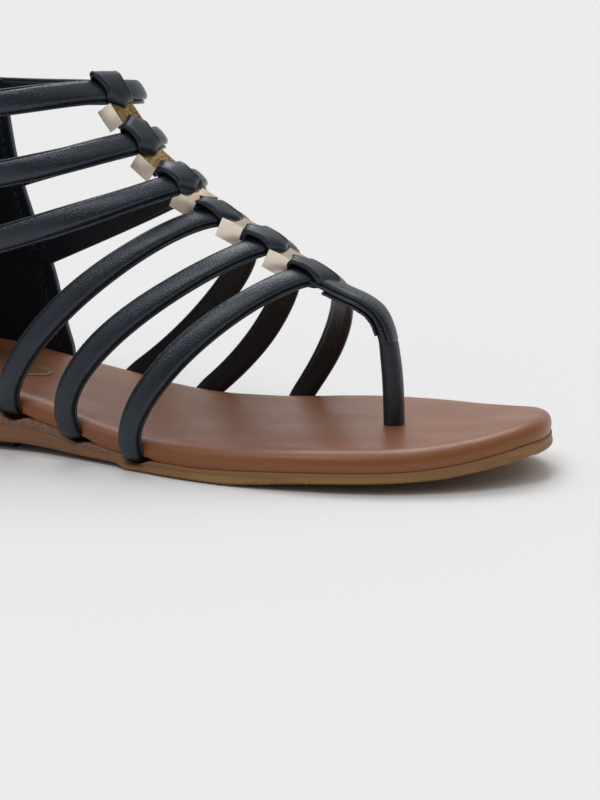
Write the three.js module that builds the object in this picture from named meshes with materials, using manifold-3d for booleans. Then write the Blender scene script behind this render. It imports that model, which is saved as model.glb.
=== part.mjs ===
// Women's gladiator sandal, right shoe: padded cross straps on a centre strap, with a toe post,
// a tall heel counter, a wrapped footbed, a rubber outsole and five faceted studs.
// Millimetres, +X to the toe, +Y to the inner (medial) side, +Z up.
// The origin is the middle of the heel lift's flat rest face.
import * as THREE from 'three';
import { mergeVertices } from 'three/addons/utils/BufferGeometryUtils.js';
import Module from 'manifold-3d';

const wasm = await Module();
wasm.setup();

// ---- driving dimensions ----
const HEEL_CENTRE = 44.5;        // from the back of the heel to the origin
const GAP = 0.3;                 // clearance between pieces that meet
const FOOTBED_THICKNESS = 6.4;
const FOOTBED_DISH = 0.9;        // how far the middle of the footbed lies below its rim
const OUTSOLE_PROUD = 1.0;       // how far the outsole stands out past the footbed
const HEEL_LIFT_LENGTH = 88;     // from the back of the heel to the breast
const HEEL_LIFT_THICKNESS = 2.3;
const HEEL_LIFT_INSET = 2.5;
const STRAP_WIDTH = 8.2;
const STRAP_THICKNESS = 3.4;
const STRAP_SIDES = 10;
const STRAP_STEPS = 14;          // along each half of a strap
const TUCK_DEPTH = 7;            // strap end held between footbed and outsole
const TUCK_THICKNESS = 1.3;
const TUCK_RISE = 0.5;           // from the outsole's top to the tucked end
const LOOP_WIDTH = 9.2;
const LOOP_SHIFT = 0.65;          // towards the outer side
const LOOP_WALL = 1.9;
const LINK_WIDTH = 6.4;
const LINK_THICKNESS = 2.6;
const CENTRE_STRAP_WIDTH = 10.4;
const CENTRE_STRAP_THICKNESS = 3.2;
const POST_WIDTH = 7.0;
const COUNTER_WALL = 2.4;
const COUNTER_FRONT = 83;        // where the counter's base ends, from the back of the heel
const COUNTER_STEPS = 24;        // columns round the heel
const STUD_HALF_WIDTH = 4.4;     // across the foot
const STUD_HALF_LENGTH = 3.5;    // along the centre strap, at the stud's two ends
const STUD_PINCH = 0.85;         // the same at its waist
const STUD_RIDGE = 0.6;          // ends above the cross straps' middle
const STUD_VALLEY = 0.8;         // waist above it
const STUD_DEPTH = 5.6;          // skirt below the cross straps' middle
const STUD_PLATE = 1.2;          // metal over the centre strap
const STUD_SHIFT = 0.6;          // towards the outer side
const SOLE_STATIONS = 34;        // cross sections along the sole pieces

/** Turns rows of numbers under named columns into a list of objects. */
function table(columns, ...rows) {
  return rows.map((row) => Object.fromEntries(columns.map((name, i) => [name, row[i]])));
}

// Footbed outline: distance from the back of the heel, then the half widths to each side.
const OUTLINE = table(
  ['along', 'lateral', 'medial'],
  [0, 0, 0],
  [6, 13.8, 14.1],
  [25, 25.3, 25.5],
  [60, 28.0, 25.2],
  [95, 30.0, 25.2],
  [125, 35.1, 30.2],
  [150, 39.8, 35.1],
  [170, 41.1, 39.3],
  [190, 39.2, 41.3],
  [210, 33.3, 40.4],
  [228, 22.3, 34.8],
  [240, 9.6, 25.2],
  [246, -5.0, 5.0],
);

// Side view of the sole: the joint between outsole and footbed, and the underside.
const PROFILE = table(
  ['along', 'joint', 'underside'],
  [0, 16.8, 2.6],
  [60, 15.2, 2.6],
  [90, 11.2, 2.5],
  [100, 9.5, 1.9],
  [110, 7.5, 1.3],
  [118, 5.7, 0.9],
  [131, 4.0, 0.0],
  [138, 3.65, 0.0],
  [150, 3.65, 0.0],
  [162, 4.2, 0.0],
  [172, 4.95, 0.8],
  [186, 5.8, 2.1],
  [200, 6.3, 2.8],
  [214, 6.85, 3.4],
  [224, 7.9, 4.1],
  [232, 9.3, 5.5],
  [238, 10.7, 6.7],
  [246, 12.4, 8.2],
);

// Where each cross strap passes over the foot, and which way it runs there.
const CROWNS = table(
  ['along', 'across', 'height', 'sweep', 'tilt', 'lateralReach', 'medialReach'],
  [109.1, -1.2, 107.1, 0.53, -0.09, 16.0, 21.9],
  [118.7, -1.2, 92.8, 0.37, 0.04, 16.0, 20.0],
  [131.9, -1.0, 81.3, 0.42, 0.09, 15.8, 21.0],
  [143.8, 0.2, 71.5, 0.6, -0.13, 19.3, 25.4],
  [159.5, -0.1, 64.5, 0.37, -0.01, 19.5, 23.5],
  [173.9, -0.1, 56.2, 0.42, -0.12, 21.7, 21.9],
);

// Strap ends. The first three run into the heel counter, at a given height and distance across;
// the last three go into the sole beside the footbed. Lean, flare and rise point the strap off.
const LATERAL_ENDS = table(
  ['along', 'across', 'height', 'lean', 'flare', 'rise'],
  [60.5, 25.3, 100.5, 27.9, 2.7, 5.1],
  [64.5, 26.2, 79.4, 29.9, 2.8, 5.7],
  [70.5, 27.2, 59.5, 29.8, 2.8, 9.6],
  [89.3, null, null, -4.8, 4.9, 22.2],
  [111.4, null, null, -12.7, 5.4, 23.5],
  [133.0, null, null, -6.2, 5.2, 20.9],
);
const MEDIAL_ENDS = table(
  ['along', 'across', 'height', 'lean', 'flare', 'rise'],
  [60.5, 22.9, 100.5, 35.5, 2.0, 1.1],
  [64.5, 24.2, 74.1, 34.2, 4.0, 12.1],
  [71.0, 24.8, 48.6, 32.0, 3.8, 15.3],
  [101.4, null, null, 22.7, 5.3, 16.5],
  [123.7, null, null, 23.3, 5.9, 18.8],
  [154.1, null, null, 12.4, 5.4, 21.7],
);

// Heel counter above the footbed, level by level: heights and places of its back and of its two
// front edges, and its width as a share of the footbed's own heel.
const COUNTER = table(
  ['backHeight', 'frontHeight', 'back', 'front', 'widthShare'],
  [32, 28, -1.0, 80.6, 0.98],
  [50, 46, 0.5, 76.0, 0.96],
  [68, 62, 4.0, 69.4, 0.93],
  [86, 77, 8.0, 64.8, 0.9],
  [101, 91, 11.0, 62.2, 0.88],
  [114, 104, 12.5, 60.4, 0.87],
);

// Centre strap in front of the last loop: down over the instep and into the toe post.
const CENTRE_STRAP = table(
  ['along', 'across', 'height', 'width', 'thickness'],
  [173.0, 0.0, 56.6, CENTRE_STRAP_WIDTH, CENTRE_STRAP_THICKNESS],
  [178.0, 0.2, 54.2, CENTRE_STRAP_WIDTH, CENTRE_STRAP_THICKNESS],
  [184.0, 0.5, 51.8, CENTRE_STRAP_WIDTH, CENTRE_STRAP_THICKNESS],
  [190.0, 0.6, 49.6, 10.4, CENTRE_STRAP_THICKNESS],
  [194.4, 0.7, 46.6, 10.0, 3.7],
  [197.0, 0.7, 41.6, 8.6, 4.6],
  [198.5, 0.7, 34.0, 7.2, 5.8],
  [199.7, 0.6, 24.0, POST_WIDTH, 6.2],
  [200.5, 0.5, 7.6, POST_WIDTH, 6.2],
);

/** Each stud's own place: towards the ankle, out of the foot, and its toe end's tilt outwards. */
const STUD_PLACES = table(
  ['setback', 'lift', 'pitch'],
  [0.85, 0, 1],
  [1.4, -1.0, 4],
  [1.55, -0.3, 12],
  [0.85, 1.2, 0],
  [0.9, 0.7, 5],
);

// ---- curves and surfaces of the shoe ----

/** Smooth value of a table's column at a distance along, held flat where its rows are level. */
function along(rows, key, value, at = 'along') {
  const last = rows.length - 1;
  let i = 0;
  while (i < last - 1 && value > rows[i + 1][at]) i += 1;
  const slope = (k) => {
    if (k <= 0 || k >= last) return 0;
    const before = (rows[k][key] - rows[k - 1][key]) / (rows[k][at] - rows[k - 1][at]);
    const after = (rows[k + 1][key] - rows[k][key]) / (rows[k + 1][at] - rows[k][at]);
    if (before * after <= 0) return 0;
    return (2 * before * after) / (before + after);
  };
  const span = rows[i + 1][at] - rows[i][at];
  const t = THREE.MathUtils.clamp((value - rows[i][at]) / span, 0, 1);
  const rise = rows[i + 1][key] - rows[i][key];
  const m0 = slope(i) * span;
  const m1 = slope(i + 1) * span;
  return rows[i][key] + m0 * t + (3 * rise - 2 * m0 - m1) * t * t + (m0 + m1 - 2 * rise) * t ** 3;
}

const jointHeight = (distance) => along(PROFILE, 'joint', distance);
const undersideHeight = (distance) => along(PROFILE, 'underside', distance);

// One closed curve round the footbed: up the lateral side to the toe and back down the medial.
const outlineCurve = new THREE.CatmullRomCurve3(
  [
    ...OUTLINE.map((row) => new THREE.Vector3(row.along, -row.lateral, 0)),
    ...OUTLINE.slice(1, -1).reverse().map((row) => new THREE.Vector3(row.along, row.medial, 0)),
  ],
  true,
  'centripetal',
);

/** Outline points, heel to toe, on one side (-1 lateral, 1 medial), with outward normals. */
function outlineSide(side) {
  const dense = outlineCurve.getPoints(1200);
  const toe = dense.reduce((best, p, i) => (p.x > dense[best].x ? i : best), 0);
  const half = side < 0 ? dense.slice(0, toe + 1) : dense.slice(toe).reverse();
  const points = [];
  for (let i = 0; i <= SOLE_STATIONS; i += 1) {
    const target = (half.at(-1).x * (1 - Math.cos((Math.PI * i) / SOLE_STATIONS))) / 2;
    let k = half.findIndex((p) => p.x >= target - 1e-6);
    if (i === SOLE_STATIONS) k = half.length - 1;
    const before = half[Math.max(k - 1, 0)];
    const after = half[Math.min(k + 1, half.length - 1)];
    const normal = new THREE.Vector3(after.y - before.y, before.x - after.x, 0).normalize();
    normal.multiplyScalar(-side);
    if (i === 0) normal.set(-1, 0, 0);
    if (i === SOLE_STATIONS) normal.set(1, 0, 0);
    points.push({ point: half[k], normal });
  }
  return points;
}

const LATERAL_SIDE = outlineSide(-1);
const MEDIAL_SIDE = outlineSide(1);

/** Distance across from the centre line to the footbed's edge. */
function edgeAcross(distance, side) {
  const points = side < 0 ? LATERAL_SIDE : MEDIAL_SIDE;
  const k = points.findIndex(({ point }) => point.x >= distance);
  const a = points[k - 1].point;
  const b = points[k].point;
  return THREE.MathUtils.mapLinear(distance, a.x, b.x, a.y, b.y);
}

/** Moves a point given from the back of the heel into the part's own frame. */
function placed(distance, across, height) {
  return new THREE.Vector3(distance - HEEL_CENTRE, across, height);
}

// ---- solids ----

/** Closed mesh from shared points and triangles. */
function meshGeometry(points, triangles) {
  const geometry = new THREE.BufferGeometry();
  const numbers = points.flatMap((p) => p.toArray());
  geometry.setAttribute('position', new THREE.Float32BufferAttribute(numbers, 3));
  geometry.setIndex(triangles.flat());
  return geometry;
}

/** Manifold solid of a closed geometry. */
function solid(geometry) {
  const bare = geometry.clone();
  bare.deleteAttribute('normal');
  bare.deleteAttribute('uv');
  const merged = mergeVertices(bare, 1e-4);
  const index = merged.index.array;
  const kept = [];
  for (let i = 0; i < index.length; i += 3) {
    const [a, b, c] = [index[i], index[i + 1], index[i + 2]];
    if (a !== b && b !== c && c !== a) kept.push(a, b, c);
  }
  const vertProperties = new Float32Array(merged.getAttribute('position').array);
  const triVerts = new Uint32Array(kept);
  const made = new wasm.Manifold(new wasm.Mesh({ numProp: 3, vertProperties, triVerts }));
  if (made.volume() > 0) return made;
  const turned = new wasm.Mesh({ numProp: 3, vertProperties, triVerts: new Uint32Array(kept.reverse()) });
  return new wasm.Manifold(turned);
}

/** Geometry of a manifold solid. */
function geometryOf(manifold) {
  const mesh = manifold.getMesh();
  const geometry = new THREE.BufferGeometry();
  geometry.setAttribute('position', new THREE.Float32BufferAttribute(mesh.vertProperties, 3));
  geometry.setIndex([...mesh.triVerts]);
  geometry.computeVertexNormals();
  return geometry;
}

/**
 * Plate with the sole's outline. Rings run from the bottom edge up to the top edge, each with an
 * inset and a height function; the caps are ladders from side to side, sagging by the given dish.
 */
function plate(rings, dish = 0) {
  const count = 2 * SOLE_STATIONS;
  const stations = [...LATERAL_SIDE, ...MEDIAL_SIDE.slice(1, -1).reverse()];
  const points = [];
  const triangles = [];
  for (const ring of rings) {
    for (const { point, normal } of stations) {
      const inset = ring.inset(point.x);
      const x = point.x - normal.x * inset;
      const y = point.y - normal.y * inset;
      points.push(placed(x, y, ring.height(x)));
    }
  }
  for (let r = 0; r < rings.length - 1; r += 1) {
    for (let i = 0; i < count; i += 1) {
      const j = (i + 1) % count;
      const [a, b] = [r * count + i, r * count + j];
      const [c, d] = [a + count, b + count];
      triangles.push([a, b, d], [a, d, c]);
    }
  }
  const columns = dish > 0 ? 4 : 1;
  for (const top of [false, true]) {
    const base = top ? (rings.length - 1) * count : 0;
    const rungs = [];
    for (let i = 0; i <= SOLE_STATIONS; i += 1) {
      const left = base + i;
      const right = base + ((count - i) % count);
      const rung = [left];
      for (let k = 1; k < columns && top && left !== right; k += 1) {
        const t = k / columns;
        const inner = points[left].clone().lerp(points[right], t);
        inner.z -= dish * 4 * t * (1 - t);
        rung.push(points.push(inner) - 1);
      }
      if (left !== right) rung.push(right);
      rungs.push(rung);
    }
    for (let i = 0; i < SOLE_STATIONS; i += 1) {
      const [near, far] = [rungs[i], rungs[i + 1]];
      const longer = Math.max(near.length, far.length);
      for (let k = 0; k < longer - 1; k += 1) {
        const [a, b] = [near[Math.min(k, near.length - 1)], near[Math.min(k + 1, near.length - 1)]];
        const [c, d] = [far[Math.min(k, far.length - 1)], far[Math.min(k + 1, far.length - 1)]];
        const faces = [[a, c, d], [a, d, b]].filter((f) => new Set(f).size === 3);
        triangles.push(...(top ? faces : faces.map(([p, q, s]) => [p, s, q])));
      }
    }
  }
  return solid(meshGeometry(points, triangles));
}

/** Tube through closed sections that all have the same number of points, capped at its ends. */
function loft(sections) {
  const sides = sections[0].length;
  const points = sections.flat();
  const triangles = [];
  for (let s = 0; s < sections.length - 1; s += 1) {
    for (let k = 0; k < sides; k += 1) {
      const [a, b] = [s * sides + k, s * sides + ((k + 1) % sides)];
      triangles.push([a, b, b + sides], [a, b + sides, a + sides]);
    }
  }
  for (let k = 1; k < sides - 1; k += 1) {
    const end = (sections.length - 1) * sides;
    triangles.push([0, k + 1, k], [end, end + k, end + k + 1]);
  }
  return solid(meshGeometry(points, triangles));
}

/** Rounded strap section: flat side in, domed side out. */
function strapSection(centre, across, outward, width, thickness) {
  const points = [];
  for (let k = 0; k < STRAP_SIDES; k += 1) {
    const angle = (2 * Math.PI * (k + 0.5)) / STRAP_SIDES;
    const w = Math.sign(Math.cos(angle)) * Math.abs(Math.cos(angle)) ** 0.75 * (width / 2);
    const fullness = Math.sin(angle) > 0 ? 0.9 : 0.5;
    const h = Math.sign(Math.sin(angle)) * Math.abs(Math.sin(angle)) ** fullness * (thickness / 2);
    points.push(centre.clone().addScaledVector(across, w).addScaledVector(outward, h));
  }
  return points;
}

/** Part of an axis that is square to a direction, as a unit vector. */
function squareTo(vector, direction) {
  return vector.clone().addScaledVector(direction, -vector.dot(direction)).normalize();
}

// ---- sole ----

/** How far the outsole stands past the footbed: a ledge under the counter, a thin rim elsewhere. */
function ledge(x) {
  const wide = GAP + COUNTER_WALL;
  const share = THREE.MathUtils.smoothstep(x, COUNTER_FRONT, COUNTER_FRONT + 18);
  return THREE.MathUtils.lerp(wide, OUTSOLE_PROUD, share);
}

/** Inset that is the same all round. */
const even = (inset) => () => inset;

/** Outsole, grown by a clearance above and around it where it trims the straps. */
function outsoleSolid(clearance) {
  const out = (x) => ledge(x) + clearance;
  return plate([
    { inset: (x) => 1.4 - out(x), height: undersideHeight },
    { inset: (x) => -out(x), height: (x) => undersideHeight(x) + 1.1 },
    { inset: (x) => -out(x), height: (x) => jointHeight(x) + clearance - 0.7 },
    { inset: (x) => 0.6 - out(x), height: (x) => jointHeight(x) + clearance },
  ]);
}

const footbedBlank = plate(
  [
    { inset: even(0.9), height: (x) => jointHeight(x) + GAP },
    { inset: even(0.1), height: (x) => jointHeight(x) + 1.2 },
    { inset: even(0), height: (x) => jointHeight(x) + 3.6 },
    { inset: even(0.9), height: (x) => jointHeight(x) + 5.4 },
    { inset: even(2.6), height: (x) => jointHeight(x) + 6.2 },
    { inset: even(5.0), height: (x) => jointHeight(x) + FOOTBED_THICKNESS },
  ],
  FOOTBED_DISH,
);

const heelBlank = plate([
  { inset: even(HEEL_LIFT_INSET), height: () => 0 },
  { inset: even(HEEL_LIFT_INSET), height: () => HEEL_LIFT_THICKNESS },
]);
const behindBreast = solid(
  new THREE.BoxGeometry(HEEL_LIFT_LENGTH, 100, 20).translate(HEEL_LIFT_LENGTH / 2 - HEEL_CENTRE, 0, 0),
);
const heelLift = heelBlank.intersect(behindBreast);

// ---- straps ----

/** The two halves of a cross strap as curves from its end to its crown. */
function strapHalves(index) {
  const crown = CROWNS[index];
  const top = placed(crown.along, crown.across, crown.height);
  return [-1, 1].map((side) => {
    const end = (side < 0 ? LATERAL_ENDS : MEDIAL_ENDS)[index];
    const inSole = end.height === null;
    const clear = STRAP_THICKNESS / 2 + 1.3 * GAP;
    const across = inSole ? edgeAcross(end.along, side) + side * clear : side * end.across;
    const height = inSole ? jointHeight(end.along) + 1.3 : end.height;
    const foot = placed(end.along, across, height);
    const reach = side < 0 ? crown.lateralReach : crown.medialReach;
    const lift = new THREE.Vector3(end.lean, side * end.flare, end.rise);
    const run = new THREE.Vector3(crown.sweep, 1, crown.tilt).multiplyScalar(side * reach);
    return new THREE.CubicBezierCurve3(foot, foot.clone().add(lift), top.clone().add(run), top);
  });
}

/** Direction that the top of the foot faces at a crown: square to the line of crowns. */
function crownNormal(index) {
  const before = CROWNS[Math.max(index - 1, 0)];
  const after = CROWNS[Math.min(index + 1, CROWNS.length - 1)];
  return new THREE.Vector3(before.height - after.height, 0, after.along - before.along).normalize();
}

/** Sections along a whole cross strap, from its lateral end over the crown to its medial end. */
function crossStrapFrames(index) {
  const [lateral, medial] = strapHalves(index);
  const frames = [];
  for (let i = 0; i <= 2 * STRAP_STEPS; i += 1) {
    const onLateral = i <= STRAP_STEPS;
    const t = onLateral ? i / STRAP_STEPS : 2 - i / STRAP_STEPS;
    const curve = onLateral ? lateral : medial;
    const tangent = curve.getTangent(t).multiplyScalar(onLateral ? 1 : -1);
    const sideways = new THREE.Vector3(0, onLateral ? -1 : 1, 0);
    const facing = sideways.lerp(crownNormal(index), t * t * (3 - 2 * t));
    const outward = squareTo(facing, tangent);
    const across = new THREE.Vector3().crossVectors(tangent, outward);
    frames.push({ centre: curve.getPoint(t), tangent, outward, across });
  }
  return frames;
}

/** Strap end that lies between footbed and outsole, grown by a clearance where it makes a slot. */
function tuck(index, side, clearance) {
  const end = (side < 0 ? LATERAL_ENDS : MEDIAL_ENDS)[index];
  const edge = edgeAcross(end.along, side);
  const outer = edge + side * (STRAP_THICKNESS / 2 + GAP + (clearance > 0 ? 2 : 0));
  const inner = edge - side * (TUCK_DEPTH + clearance);
  const halfWidth = STRAP_WIDTH / 2 - 0.5 + clearance;
  const ring = (across) => {
    const [low, high] = [clearance > 0 ? 0 : TUCK_RISE, TUCK_RISE + TUCK_THICKNESS + clearance];
    const corners = [[-halfWidth, low], [halfWidth, low], [halfWidth, high], [-halfWidth, high]];
    return corners.map(([dx, dz]) => placed(end.along + dx, across, jointHeight(end.along + dx) + dz));
  };
  return loft(side < 0 ? [ring(inner), ring(outer)] : [ring(outer), ring(inner)]);
}

function crossStrap(index) {
  const frames = crossStrapFrames(index);
  return loft(frames.map((f) => strapSection(f.centre, f.across, f.outward, STRAP_WIDTH, STRAP_THICKNESS)));
}

/** Loop of the centre strap round a cross strap. */
function loop(index) {
  const frames = crossStrapFrames(index);
  const middle = frames[STRAP_STEPS];
  const sections = [-0.5, -0.42, 0, 0.42, 0.5].map((s) => {
    const centre = middle.centre.clone().addScaledVector(middle.tangent, s * LOOP_WIDTH - LOOP_SHIFT);
    const wall = Math.abs(s) === 0.5 ? LOOP_WALL * 0.7 : LOOP_WALL;
    const width = STRAP_WIDTH + 2 * wall;
    return strapSection(centre, middle.across, middle.outward, width, STRAP_THICKNESS + 2 * wall);
  });
  return loft(sections);
}

// ---- centre strap, toe post and studs ----

/** Straight neck of the centre strap between two loops, under a stud. */
function neck(index) {
  const { from, to, outward, across } = studFrame(index);
  const drop = STUD_PLATE - STUD_VALLEY - STUD_PLACES[index].lift + 1.3 * GAP + LINK_THICKNESS / 2;
  const ends = [from, to].map((p) => p.clone().addScaledVector(outward, -drop));
  return loft(ends.map((p) => strapSection(p, across, outward, LINK_WIDTH, LINK_THICKNESS)));
}

/** Place and axes between two crowns: along the centre strap, across it and out of the foot. */
function studFrame(index) {
  const [from, to] = [index, index + 1].map((i) => {
    const row = CROWNS[i];
    return placed(row.along, row.across, row.height);
  });
  const { setback, lift, pitch } = STUD_PLACES[index];
  const direction = to.clone().sub(from).normalize();
  const [sweep, tilt] = ['sweep', 'tilt'].map((key) => (CROWNS[index][key] + CROWNS[index + 1][key]) / 2);
  const across = new THREE.Vector3(-sweep, -1, -tilt).normalize();
  const outward = new THREE.Vector3().crossVectors(across, direction).normalize();
  const centre = from.clone().lerp(to, 0.5)
    .addScaledVector(direction, -setback)
    .addScaledVector(outward, lift);
  const turn = THREE.MathUtils.degToRad(pitch);
  direction.applyAxisAngle(across, turn);
  outward.applyAxisAngle(across, turn);
  return { from, to, direction, across, outward, centre };
}

/** Bow-tie stud, or the grown form that trims the loops beside it: two wide ends joined at a
 * pinched waist, with a channel for the neck. */
function stud(index, margin) {
  const { centre, direction, across, outward } = studFrame(index);
  const place = (s, a, h) => centre.clone()
    .addScaledVector(direction, s)
    .addScaledVector(across, a)
    .addScaledVector(outward, h);
  const sections = [-1, 0, 1].map((end) => {
    const half = (end === 0 ? STUD_PINCH : STUD_HALF_LENGTH) + margin;
    const top = (end === 0 ? STUD_VALLEY : STUD_RIDGE) + margin;
    const a = end * (STUD_HALF_WIDTH + margin) + STUD_SHIFT;
    const base = -STUD_DEPTH - margin;
    return [place(-half, a, base), place(half, a, base), place(half, a, top), place(-half, a, top)];
  });
  const halfChannel = LINK_WIDTH / 2 + GAP - margin;
  const roof = STUD_VALLEY - STUD_PLATE - margin;
  const channel = [-1, 1].map((end) => {
    const s = end * (STUD_HALF_LENGTH + 1);
    const floor = -STUD_DEPTH - 1;
    const corners = [[-halfChannel, floor], [halfChannel, floor], [halfChannel, roof], [-halfChannel, roof]];
    return corners.map(([a, h]) => place(s, a, h));
  });
  return loft(sections).subtract(loft(channel));
}

/** Centre strap in front of the last loop, running down into the toe post. */
function toeStrap() {
  const points = CENTRE_STRAP.map((row) => placed(row.along, row.across, row.height));
  const path = new THREE.CatmullRomCurve3(points, false, 'centripetal');
  const steps = 3 * (CENTRE_STRAP.length - 1);
  const sections = [];
  for (let i = 0; i <= steps; i += 1) {
    const t = i / steps;
    const tangent = path.getTangent(t);
    const across = new THREE.Vector3(0, -1, 0);
    const outward = new THREE.Vector3().crossVectors(across, tangent).normalize();
    const row = t * (CENTRE_STRAP.length - 1);
    const k = Math.min(Math.floor(row), CENTRE_STRAP.length - 2);
    const [width, thickness] = ['width', 'thickness'].map((key) => (
      THREE.MathUtils.lerp(CENTRE_STRAP[k][key], CENTRE_STRAP[k + 1][key], row - k)
    ));
    sections.push(strapSection(path.getPoint(t), across, outward, width, thickness));
  }
  return loft(sections);
}

// ---- heel counter ----

/** Shell round the heel, from a margin inside its inner face to a margin outside its outer face. */
function counterShell(margin, frontMargin) {
  const column = (k) => {
    const t = (2 * k) / COUNTER_STEPS - 1;
    const side = t < 0 ? LATERAL_SIDE : MEDIAL_SIDE;
    const distance = COUNTER_FRONT * (1 - Math.cos((Math.PI * t) / 2));
    const i = Math.max(side.findIndex(({ point }) => point.x >= distance), 1);
    const share = (distance - side[i - 1].point.x) / (side[i].point.x - side[i - 1].point.x);
    const point = side[i - 1].point.clone().lerp(side[i].point, share);
    const normal = side[i - 1].normal.clone().lerp(side[i].normal, share).normalize();
    return { point, normal };
  };
  const levels = [
    { share: 1, stretch: (x) => x, height: (x) => jointHeight(x) + GAP },
    { share: 1, stretch: (x) => x, height: (x) => jointHeight(x) + GAP + FOOTBED_THICKNESS },
    ...COUNTER.map((row) => ({
      share: row.widthShare,
      stretch: (x) => THREE.MathUtils.mapLinear(x, 0, COUNTER_FRONT, row.back, row.front + frontMargin),
      height: (x) => THREE.MathUtils.mapLinear(x, 0, COUNTER_FRONT, row.backHeight, row.frontHeight),
    })),
  ];
  const points = [];
  const width = COUNTER_STEPS + 1;
  for (const level of levels) {
    for (const offset of [GAP - margin, GAP + COUNTER_WALL + margin]) {
      for (let k = 0; k < width; k += 1) {
        const { point, normal } = column(k);
        const x = level.stretch(point.x) + normal.x * offset;
        const y = point.y * level.share + normal.y * offset;
        points.push(placed(x, y, level.height(point.x)));
      }
    }
  }
  const triangles = [];
  const quad = (a, b, c, d) => triangles.push([a, b, c], [a, c, d]);
  for (let l = 0; l < levels.length; l += 1) {
    const inner = l * 2 * width;
    const outer = inner + width;
    const up = 2 * width;
    for (let k = 0; k < width - 1; k += 1) {
      if (l === 0) quad(inner + k, inner + k + 1, outer + k + 1, outer + k);
      if (l === levels.length - 1) quad(inner + k, outer + k, outer + k + 1, inner + k + 1);
      if (l < levels.length - 1) {
        quad(inner + k, inner + k + up, inner + k + 1 + up, inner + k + 1);
        quad(outer + k, outer + k + 1, outer + k + 1 + up, outer + k + up);
      }
    }
    if (l < levels.length - 1) {
      quad(inner, outer, outer + up, inner + up);
      const last = width - 1;
      quad(inner + last, inner + last + up, outer + last + up, outer + last);
    }
  }
  return solid(meshGeometry(points, triangles));
}

// ---- assembly ----

const counterCut = counterShell(4, GAP);
let upper = toeStrap();
for (let index = 0; index < CROWNS.length; index += 1) {
  const inSole = LATERAL_ENDS[index].height === null;
  let strap = crossStrap(index);
  if (!inSole) strap = strap.subtract(counterCut);
  upper = upper.add(strap).add(loop(index));
  if (inSole) upper = upper.add(tuck(index, -1, 0)).add(tuck(index, 1, 0));
  if (index < CROWNS.length - 1) upper = upper.add(neck(index));
}

upper = upper.subtract(outsoleSolid(GAP));
for (let index = 0; index < CROWNS.length - 1; index += 1) {
  upper = upper.subtract(stud(index, GAP));
}

const postRow = CENTRE_STRAP.at(-1);
const postHole = solid(
  new THREE.CylinderGeometry(POST_WIDTH / 2 + 1.6 * GAP, POST_WIDTH / 2 + 1.6 * GAP, 30, 20)
    .rotateX(Math.PI / 2)
    .translate(postRow.along - HEEL_CENTRE, postRow.across, 10),
);
let footbed = footbedBlank.subtract(postHole);
for (let index = 0; index < CROWNS.length; index += 1) {
  if (LATERAL_ENDS[index].height !== null) continue;
  for (const side of [-1, 1]) footbed = footbed.subtract(tuck(index, side, GAP));
}

const NAVY = { color: 0x262a32, roughness: 0.45, metalness: 0 };
const TAN = { color: 0x76482f, roughness: 0.5, metalness: 0 };
const OCHRE = { color: 0x7d5f3a, roughness: 0.75, metalness: 0 };
const DARK_BROWN = { color: 0x2a1612, roughness: 0.7, metalness: 0 };
const PALE_GOLD = { color: 0xc8b4a0, roughness: 0.2, metalness: 1 };

const sandal = new THREE.Group();

/** Adds one named piece to the sandal. */
function addPiece(name, manifold, finish) {
  const mesh = new THREE.Mesh(geometryOf(manifold), new THREE.MeshStandardMaterial(finish));
  mesh.name = name;
  sandal.add(mesh);
}

addPiece('outsole', outsoleSolid(0), OCHRE);
addPiece('heel_lift', heelLift, DARK_BROWN);
addPiece('footbed', footbed, TAN);
addPiece('upper', upper, NAVY);
addPiece('heel_counter', counterShell(0, 0), NAVY);
for (let index = 0; index < CROWNS.length - 1; index += 1) {
  addPiece(`stud_${index + 1}`, stud(index, 0), PALE_GOLD);
}

export default sandal;
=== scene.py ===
"""Gladiator sandal, right shoe: the pieces that show, their finishes, the light and the camera."""

import logging
import math
from bisect import bisect_left
from collections.abc import Callable, Sequence
from dataclasses import dataclass
from enum import Enum
from typing import TypeVar

import bpy
from mathutils import Matrix, Vector


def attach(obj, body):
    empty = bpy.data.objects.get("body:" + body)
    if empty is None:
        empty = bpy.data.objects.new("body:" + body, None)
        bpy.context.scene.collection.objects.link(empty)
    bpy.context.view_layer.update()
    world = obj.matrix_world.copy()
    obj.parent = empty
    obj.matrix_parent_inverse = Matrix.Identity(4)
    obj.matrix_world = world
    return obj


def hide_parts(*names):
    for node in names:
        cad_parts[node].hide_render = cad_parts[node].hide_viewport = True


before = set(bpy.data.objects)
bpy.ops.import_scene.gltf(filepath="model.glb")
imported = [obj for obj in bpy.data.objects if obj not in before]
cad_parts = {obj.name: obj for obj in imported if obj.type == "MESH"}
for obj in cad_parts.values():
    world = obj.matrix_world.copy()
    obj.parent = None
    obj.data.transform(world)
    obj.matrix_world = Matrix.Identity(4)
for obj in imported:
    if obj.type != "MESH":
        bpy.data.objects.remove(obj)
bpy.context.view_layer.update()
LOG = logging.getLogger("sandal")

MM = 0.001
HEEL_CENTRE = 44.5  # from the back of the heel to the origin, in millimetres
GAP = 0.3  # clearance between pieces that meet
FOOTBED_THICKNESS = 6.4

Place = Callable[[float, float], Vector]
Tone = Callable[[float, float], float]
Spot = TypeVar("Spot", float, Vector)


class Side(Enum):
    """The two sides of the shoe; the value is the sign of Y."""

    LATERAL = -1
    MEDIAL = 1


class Slot(Enum):
    """Material slots of the record."""

    OUTSOLE = "outsole_rubber"
    HEEL_LIFT = "heel_lift_rubber"
    FOOTBED = "footbed_leather"
    STRAP = "strap_leather"
    COUNTER = "counter_leather"
    STUD = "stud_metal"


def placed(distance: float, across: float, height: float) -> Vector:
    """Point in the frame from millimetres: distance from the back of the heel, across and up."""
    return Vector(((distance - HEEL_CENTRE) * MM, across * MM, height * MM))


def ease(value: float, low: float, high: float) -> float:
    """Smooth step of a value from 0 at low to 1 at high."""
    t = min(max((value - low) / (high - low), 0.0), 1.0)
    return t * t * (3 - 2 * t)


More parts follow.
